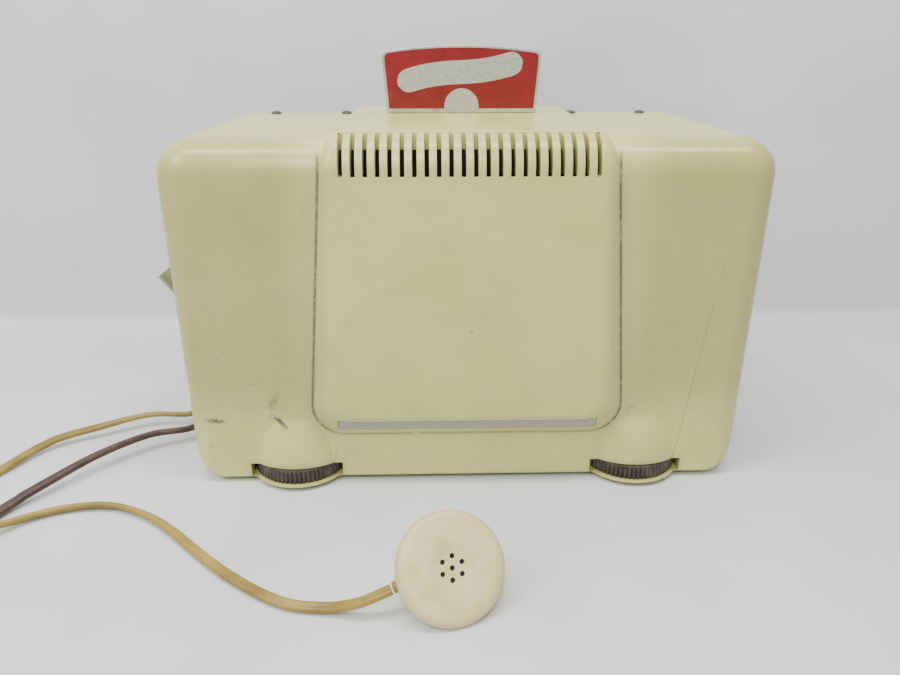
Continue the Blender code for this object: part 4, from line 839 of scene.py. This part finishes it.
def sign_outline():
    """Points of the sign seen from the front, about its foot's middle, anticlockwise."""
    rise, run = 3.0, 41.0
    crown = (run ** 2 + rise ** 2) / (2 * rise)
    spread = math.asin(run / crown)
    points = [(-42.0, 0.0), (42.0, 0.0)]
    points += [(41.0 + 3.0 * math.cos(a), 29.5 + 3.0 * math.sin(a))
               for a in (math.radians(d) for d in (0, 15, 30, 45, 60, 75))]
    points += [(crown * math.sin(spread - 2 * spread * k / 24), 35.5 - crown
                + crown * math.cos(spread - 2 * spread * k / 24)) for k in range(25)]
    points += [(-41.0 + 3.0 * math.cos(a), 29.5 + 3.0 * math.sin(a))
               for a in (math.radians(d) for d in (105, 120, 135, 150, 165, 180))]
    return points


def upright(points, y, thickness):
    """A flat shape standing in the sign's plane, its front at y, with a depth to the back."""
    bm = bmesh.new()
    face = bm.faces.new([bm.verts.new((px, y, SIGN_FOOT + pz)) for px, pz in points])
    grown = bmesh.ops.extrude_face_region(bm, geom=[face])["geom"]
    bmesh.ops.translate(bm, vec=(0, thickness, 0),
                        verts=[v for v in grown if isinstance(v, bmesh.types.BMVert)])
    return bm


def sign_plate():
    bm = upright(sign_outline(), SIGN_FRONT, 1.0)
    rims = [e for e in bm.edges if abs(e.verts[0].co.y - e.verts[1].co.y) < 0.1]
    bmesh.ops.bevel(bm, geom=rims, offset=0.2, segments=2, profile=0.5, affect="EDGES", material=-1)
    plate = finished("sign_sheet", bm, smooth=False)
    foot = finished("foot", box((-42, 42), (27.75, 41.0), (SIGN_FOOT, SIGN_FOOT + 1.0)))
    holes = [finished("hole", disc(1.9, 170, 190, x, 35.5, 24)) for x in (-30, 30)]
    carve(plate, foot, "UNION")
    for hole in holes:
        carve(plate, hole, "DIFFERENCE")
    return settle(plate, foot, *holes)


bare = Finish("bare_aluminium", (0.7, 0.7, 0.67), 0.32, 1.0)
brushed = bare.noise(1.4, 4.0, 0.6, bare.stretched((0.06, 1.0, 1.0)))
bare.set("Base Color", bare.mix(bare.noise(8.0, 5.0).fade(0.45, 0.75), (0.72, 0.72, 0.68),
                               (0.50, 0.49, 0.45)))
bare.set("Roughness", 0.25 + 0.25 * brushed)
bare.relief(brushed, 0.04)
dress(sign_plate(), bare, "sign_metal", "case", "sign_plate")

# %% [markdown]
# The printed field stands a hair in front of the sheet, so that the two can't flicker. It is scratched
# and slightly faded.

# %% The printed field and its bare shapes
def printed_field():
    points = [(px * (1 - 1.4 / 43.0), 2.2 + pz * (1 - 3.5 / 35.5)) for px, pz in sign_outline()]
    return finished("sign_print", upright(points, SIGN_FRONT - 0.06, 0.05), smooth=False)


def ribbon(line, half_widths):
    """A curved band: its middle line with a half width at each point."""
    left, right = [], []
    for i, (px, pz) in enumerate(line):
        ax, az = line[max(i - 1, 0)]
        bx, bz = line[min(i + 1, len(line) - 1)]
        length = math.hypot(bx - ax, bz - az)
        nx, nz = -(bz - az) / length, (bx - ax) / length
        left.append((px + nx * half_widths[i], pz + nz * half_widths[i]))
        right.append((px - nx * half_widths[i], pz - nz * half_widths[i]))
    return right + left[::-1]


def bare_shapes():
    count = 48
    line, widths = [], []
    for i in range(count + 1):
        t = i / count
        line.append((-35.5 + 69.0 * t, 15.2 + 12.5 * t + 1.5 * math.sin(2 * math.pi * t)))
        end = min(t, 1 - t) * 69.0
        widths.append(6.2 * math.sqrt(max(0.02, 1 - max(0.0, 1 - end / 6.2) ** 2)))
    band = upright(ribbon(line, widths), SIGN_FRONT - 0.16, 0.08)
    mesh = bpy.data.meshes.new("coin")
    coin_points = [(9.6 * math.cos(math.radians(a)), 3.4 + 9.6 * math.sin(math.radians(a)))
                   for a in range(-12, 193, 4)]
    coin = upright(coin_points, SIGN_FRONT - 0.20, 0.12)
    coin.to_mesh(mesh)
    coin.free()
    band.from_mesh(mesh)
    return finished("sign_shapes", band, smooth=False)


red = Finish("red_print", (0.45, 0.02, 0.02), 0.3, Specular_IOR_Level=0.5)
worn = red.noise(5.0, 6.0, 0.7).fade(0.60, 0.76)
red_base = red.mix(red.noise(14.0).fade(0.3, 0.7), (0.24, 0.012, 0.013), (0.18, 0.009, 0.010))
scratches = red.noise(0.9, 2.0, 0.5, red.stretched((1.0, 1.0, 0.12))).fade(0.72, 0.8)
red.set("Base Color", red.mix((worn * 0.25).over(scratches * 0.5), red_base, (0.42, 0.20, 0.17)))
red.set("Roughness", 0.28 + 0.3 * worn)
dress(printed_field(), red, "sign_metal", "case")
shapes = Finish("bare_print", (0.6, 0.6, 0.56), 0.38, 0.75)
tarnish = shapes.noise(1.7, 5.0, 0.7)
shapes.set("Base Color", shapes.mix(tarnish.fade(0.42, 0.72), (0.60, 0.60, 0.55), (0.36, 0.35, 0.31)))
shapes.set("Roughness", 0.30 + 0.3 * tarnish)
dress(bare_shapes(), shapes, "sign_metal", "case")

# %% [markdown]
# ## The pillow speaker
#
# The speaker is two turned halves of ivory plastic, about as big as a biscuit. Half of each section is
# drawn as a line and spun round the axis. The front is a shallow dome with a small dish in the middle,
# and the dish has seven holes. The halves lean back on the table, so they are made upright and then
# turned into place.

# %% Speaker halves
SEAT = (Matrix.Translation((-10.8, -163.3, 18.5))
        @ Euler((math.radians(53.0), 0.0, math.radians(18.0))).to_matrix().to_4x4())


def spun(name, profile, steps=96):
    """Spins a closed section of (radius, height) about its own upright axis."""
    bm = bmesh.new()
    points = [bm.verts.new((r, 0, h)) for r, h in profile]
    edges = [bm.edges.new(pair) for pair in zip(points, points[1:])]
    bmesh.ops.spin(bm, geom=points + edges, cent=(0, 0, 0), axis=(0, 0, 1), steps=steps,
                   angle=2 * math.pi, use_merge=True)
    bmesh.ops.remove_doubles(bm, verts=bm.verts, dist=0.001)
    return bm


def curve_through(points, parts=5):
    """A smoother section through a few given points."""
    line = smooth_line([(r, 0, h) for r, h in points], 1.0 / parts * 2)
    return [(p.x, p.z) for p in line]


def seated(bm):
    bmesh.ops.transform(bm, matrix=SEAT, verts=bm.verts)
    return bm


def speaker_front():
    dome = curve_through([(0.0, 2.3), (3.0, 2.32), (6.0, 2.75), (8.2, 3.3), (10.5, 3.62), (14.0, 3.62),
                          (17.5, 3.35), (20.2, 2.95), (21.6, 2.45), (22.6, 1.5), (23.0, 0.4)])
    dome[0] = (0.0, 2.3)
    inner = [(23.0, -2.0), (20.6, -2.0), (20.6, 0.2), (19.0, 0.6), (9.0, 1.3), (0.0, 0.3)]
    front = finished("speaker_face", seated(spun("face", dome + inner)))
    spots = [(0.0, 0.0)] + [(4.7 * math.cos(math.radians(60 * i + 20)),
                             4.7 * math.sin(math.radians(60 * i + 20))) for i in range(6)]
    holes = [finished("hole", seated(disc(1.05, -3, 8, px, py, 20))) for px, py in spots]
    for hole in holes:
        carve(front, hole, "DIFFERENCE")
    return round_edges(settle(front, *holes), 0.22, angle=40)


def speaker_back():
    back = [(0, -10), (11.5, -10), (16.2, -7.0), (18.3, -3.0), (18.3, 0.0), (20.3, 0.0), (20.3, -2.3),
            (22.4, -2.3), (22.3, -3.2), (21.6, -4.6), (18.6, -8.4), (16.0, -10.6), (14.0, -11.6),
            (12.0, -12.0), (0, -12.0)]
    shell = finished("speaker_shell", seated(spun("shell", back)))
    bore = disc(3.0, 0, 30, 0, 0, 32)
    bmesh.ops.rotate(bore, matrix=Matrix.Rotation(math.radians(90), 3, "Y"), verts=bore.verts)
    bmesh.ops.rotate(bore, matrix=Matrix.Rotation(math.radians(187), 3, "Z"), verts=bore.verts)
    bmesh.ops.translate(bore, vec=(0, 0, -6.4), verts=bore.verts)
    hole = finished("bore", seated(bore))
    carve(shell, hole, "DIFFERENCE")
    return round_edges(settle(shell, hole), 0.3, angle=40)


# %% [markdown]
# The ivory has yellowed unevenly: more at the rim, where hands hold it, and round the dish. The distance
# from the speaker's axis comes from a Mapping node that undoes the speaker's place and lean.

# %% Ivory plastic
ivory = Finish("ivory_plastic", (0.72, 0.68, 0.48), 0.28, Specular_IOR_Level=0.5)
move = ivory.node("ShaderNodeMapping", {"vector_type": "TEXTURE"},
                  {"Vector": ivory.place, "Location": tuple(SEAT.translation * MM),
                   "Rotation": tuple(SEAT.to_euler())})
sx, sy, sz = ivory.axes(move)
reach = (sx * sx + sy * sy) ** 0.5
aged = ivory.noise(9.0, 4.0).fade(0.38, 0.7)
tone = ivory.mix(aged, (0.70, 0.63, 0.30), (0.61, 0.54, 0.22))
tone = ivory.mix(reach.fade(18.5, 22.8) * 0.55, tone, (0.55, 0.45, 0.22))
tone = ivory.mix(abs(reach - 8.6).fade(2.2, 0.0) * 0.22, tone, (0.50, 0.42, 0.22))
spots = ivory.noise(1.3, 2.0).fade(0.70, 0.76)
tone = ivory.mix(spots * 0.5, tone, (0.30, 0.22, 0.10))
# Painted shade: the walls of the seven holes, below the dish's surface, are made nearly black.
hole_shade = sz.fade(2.2, 1.2) * reach.fade(8.0, 7.0)
tone = ivory.mix(hole_shade * 0.9, tone, (0.05, 0.04, 0.03))
ivory.set("Base Color", tone)
ivory.set("Roughness", 0.24 + 0.2 * ivory.noise(6.0, 4.0))
ivory.relief(ivory.noise(12.0, 2.0), 0.12)
dress(speaker_front(), ivory, "ivory_speaker", "speaker", "pillow_front")
dress(speaker_back(), ivory, "ivory_speaker", "speaker", "pillow_back")

# %% [markdown]
# ## Every other piece
#
# The works inside, the screws and the small metal parts keep their model shapes. Each kind gets a finish
# with its own wear: zinc-plated steel is cloudy, brass and chrome are lightly tarnished, and the tubes
# are clear glass with a silver flash at the top.

# %% Finishes for metal
def metal(name, bright, dull, roughness, size=9.0, shine=1.0):
    finish = Finish(name, bright, roughness, shine)
    cloud = finish.noise(size, 5.0, 0.6)
    finish.set("Base Color", finish.mix(cloud.fade(0.35, 0.7), bright, dull))
    finish.set("Roughness", roughness + 0.22 * finish.noise(size * 0.4, 4.0))
    finish.relief(finish.noise(size * 0.12, 2.0), 0.03)
    return finish


zinc = metal("zinc_steel", (0.56, 0.56, 0.54), (0.36, 0.35, 0.32), 0.32)
dark = metal("dark_steel", (0.075, 0.075, 0.08), (0.14, 0.115, 0.09), 0.42, 5.0, 0.6)
can_metal = metal("can_aluminium", (0.72, 0.72, 0.71), (0.55, 0.55, 0.54), 0.25)
brass = metal("old_brass", (0.68, 0.49, 0.19), (0.42, 0.29, 0.11), 0.26)
chrome = metal("chrome", (0.80, 0.80, 0.80), (0.66, 0.65, 0.62), 0.10, 6.0)

# %% Dial, tubes, board
dial_plate = Finish("dial_plate", (0.5, 0.47, 0.49), 0.3, 0.4)
across = dial_plate.axes()[0]
ticks = abs((across / 5.0) - (across / 5.0).rounded()).fade(0.06, 0.03)
dial_plate.set("Base Color", dial_plate.mix(ticks, dial_plate.mix(
    dial_plate.noise(20.0), (0.24, 0.21, 0.22), (0.17, 0.15, 0.16)), (0.05, 0.04, 0.04)))
lens = Finish("clear_lens", (0.85, 0.84, 0.86), 0.12, Alpha=0.25)
lens.set("Roughness", 0.08 + 0.2 * lens.noise(8.0, 4.0))
pointer_red = Finish("pointer_red", (0.5, 0.02, 0.02), 0.35)
pointer_red.set("Base Color", pointer_red.mix(pointer_red.noise(2.0), (0.5, 0.02, 0.02),
                                             (0.35, 0.02, 0.02)))
glass = Finish("tube_glass", (0.6, 0.62, 0.63), 0.06)
height = glass.axes()[2]
getter = height.fade(60.0, 68.0)
glass.set("Base Color", glass.mix(getter, glass.mix(glass.noise(6.0), (0.20, 0.20, 0.21),
                                                   (0.34, 0.33, 0.32)), (0.62, 0.62, 0.60)))
glass.set("Metallic", getter * 0.9)
glass.set("Alpha", 0.55 + 0.4 * getter)
board = Finish("winding_board", (0.25, 0.12, 0.05), 0.6)
wires = ((board.axes()[2] + board.axes()[1]) * 4.0).sine().fade(-0.6, 0.8)
board.set("Base Color", board.mix(wires, (0.11, 0.05, 0.025), (0.34, 0.15, 0.06)))
board.relief(wires, 0.25)

# %% Handing out the finishes
FINISHES = {"zinc_steel": zinc, "dark_steel": dark, "aluminium": can_metal, "brass": brass,
            "chrome": chrome, "dial_plate": dial_plate, "dial_lens": lens, "pointer_red": pointer_red,
            "tube_glass": glass, "antenna_board": board, "sign_metal": bare, "brown_plastic": brown,
            "gold_cord": gold_flex, "brown_cord": brown_flex, "cream_case": cream,
            "ivory_speaker": ivory}
for part in frame["record"]["subparts"]:
    node = frame["nodes"][part["node"]]
    for place_in in node.material_slots:
        place_in.material = FINISHES[part["material_slot"]].material
print("finishes on", len(frame["nodes"]), "model pieces")

# %% [markdown]
# ## The room
#
# The radio stands on a white sheet that turns up into a wall close behind it. One broad lamp hangs
# above and a little in front, a second fills from the camera's side, and the world adds an even glow.

# %% Floor and wall
def sweep_sheet():
    """A floor and a wall joined by a small bend."""
    bm = bmesh.new()
    bmesh.ops.create_grid(bm, x_segments=1, y_segments=1, size=1.0)
    bmesh.ops.scale(bm, vec=(1800, 1000, 1), verts=bm.verts)
    bmesh.ops.translate(bm, vec=(0, 165.0 - 1000.0, -0.02), verts=bm.verts)
    back = [e for e in bm.edges if all(v.co.y > 160 for v in e.verts)]
    grown = bmesh.ops.extrude_edge_only(bm, edges=back)["geom"]
    bmesh.ops.translate(bm, vec=(0, 0, 1200), verts=[v for v in grown if isinstance(v, bmesh.types.BMVert)])
    bmesh.ops.bevel(bm, geom=back, offset=10.0, segments=8, profile=0.5, affect="EDGES", material=-1)
    return finished("sheet_of_paper", bm)


paper = Finish("white_paper", (0.78, 0.79, 0.8), 0.55)
paper.set("Base Color", paper.mix(paper.noise(160.0, 3.0).fade(0.3, 0.7), (0.68, 0.69, 0.69),
                                 (0.60, 0.61, 0.61)))
backdrop = sweep_sheet()
backdrop.data.materials.append(paper.material)


# %% Lamps
def lamp(name, place, aim, width, height, power, colour=(1.0, 1.0, 1.0)):
    light = bpy.data.lights.new(name, "AREA")
    light.shape = "RECTANGLE"
    light.size, light.size_y = width, height
    light.energy = power
    light.color = colour
    obj = bpy.data.objects.new(name, light)
    bpy.context.scene.collection.objects.link(obj)
    obj.location = place
    obj.rotation_euler = (Vector(aim) - Vector(place)).to_track_quat("-Z", "Y").to_euler()
    return obj


lamp("roof_lamp", (0.0, -0.16, 0.95), (0, -0.02, 0.1), 0.95, 0.16, 9.0)
lamp("left_lamp", (-0.9, -0.55, 1.0), (0, 0, 0.1), 0.6, 0.6, 9.0)
lamp("front_lamp", (-0.1, -0.75, 0.75), (0, -0.05, 0.08), 0.30, 0.30, 4.5)
world = bpy.data.worlds.new("room")
bpy.context.scene.world = world
world.use_nodes = True
world.node_tree.nodes["Background"].inputs["Color"].default_value = (0.95, 0.97, 1.0, 1.0)
world.node_tree.nodes["Background"].inputs["Strength"].default_value = 0.55
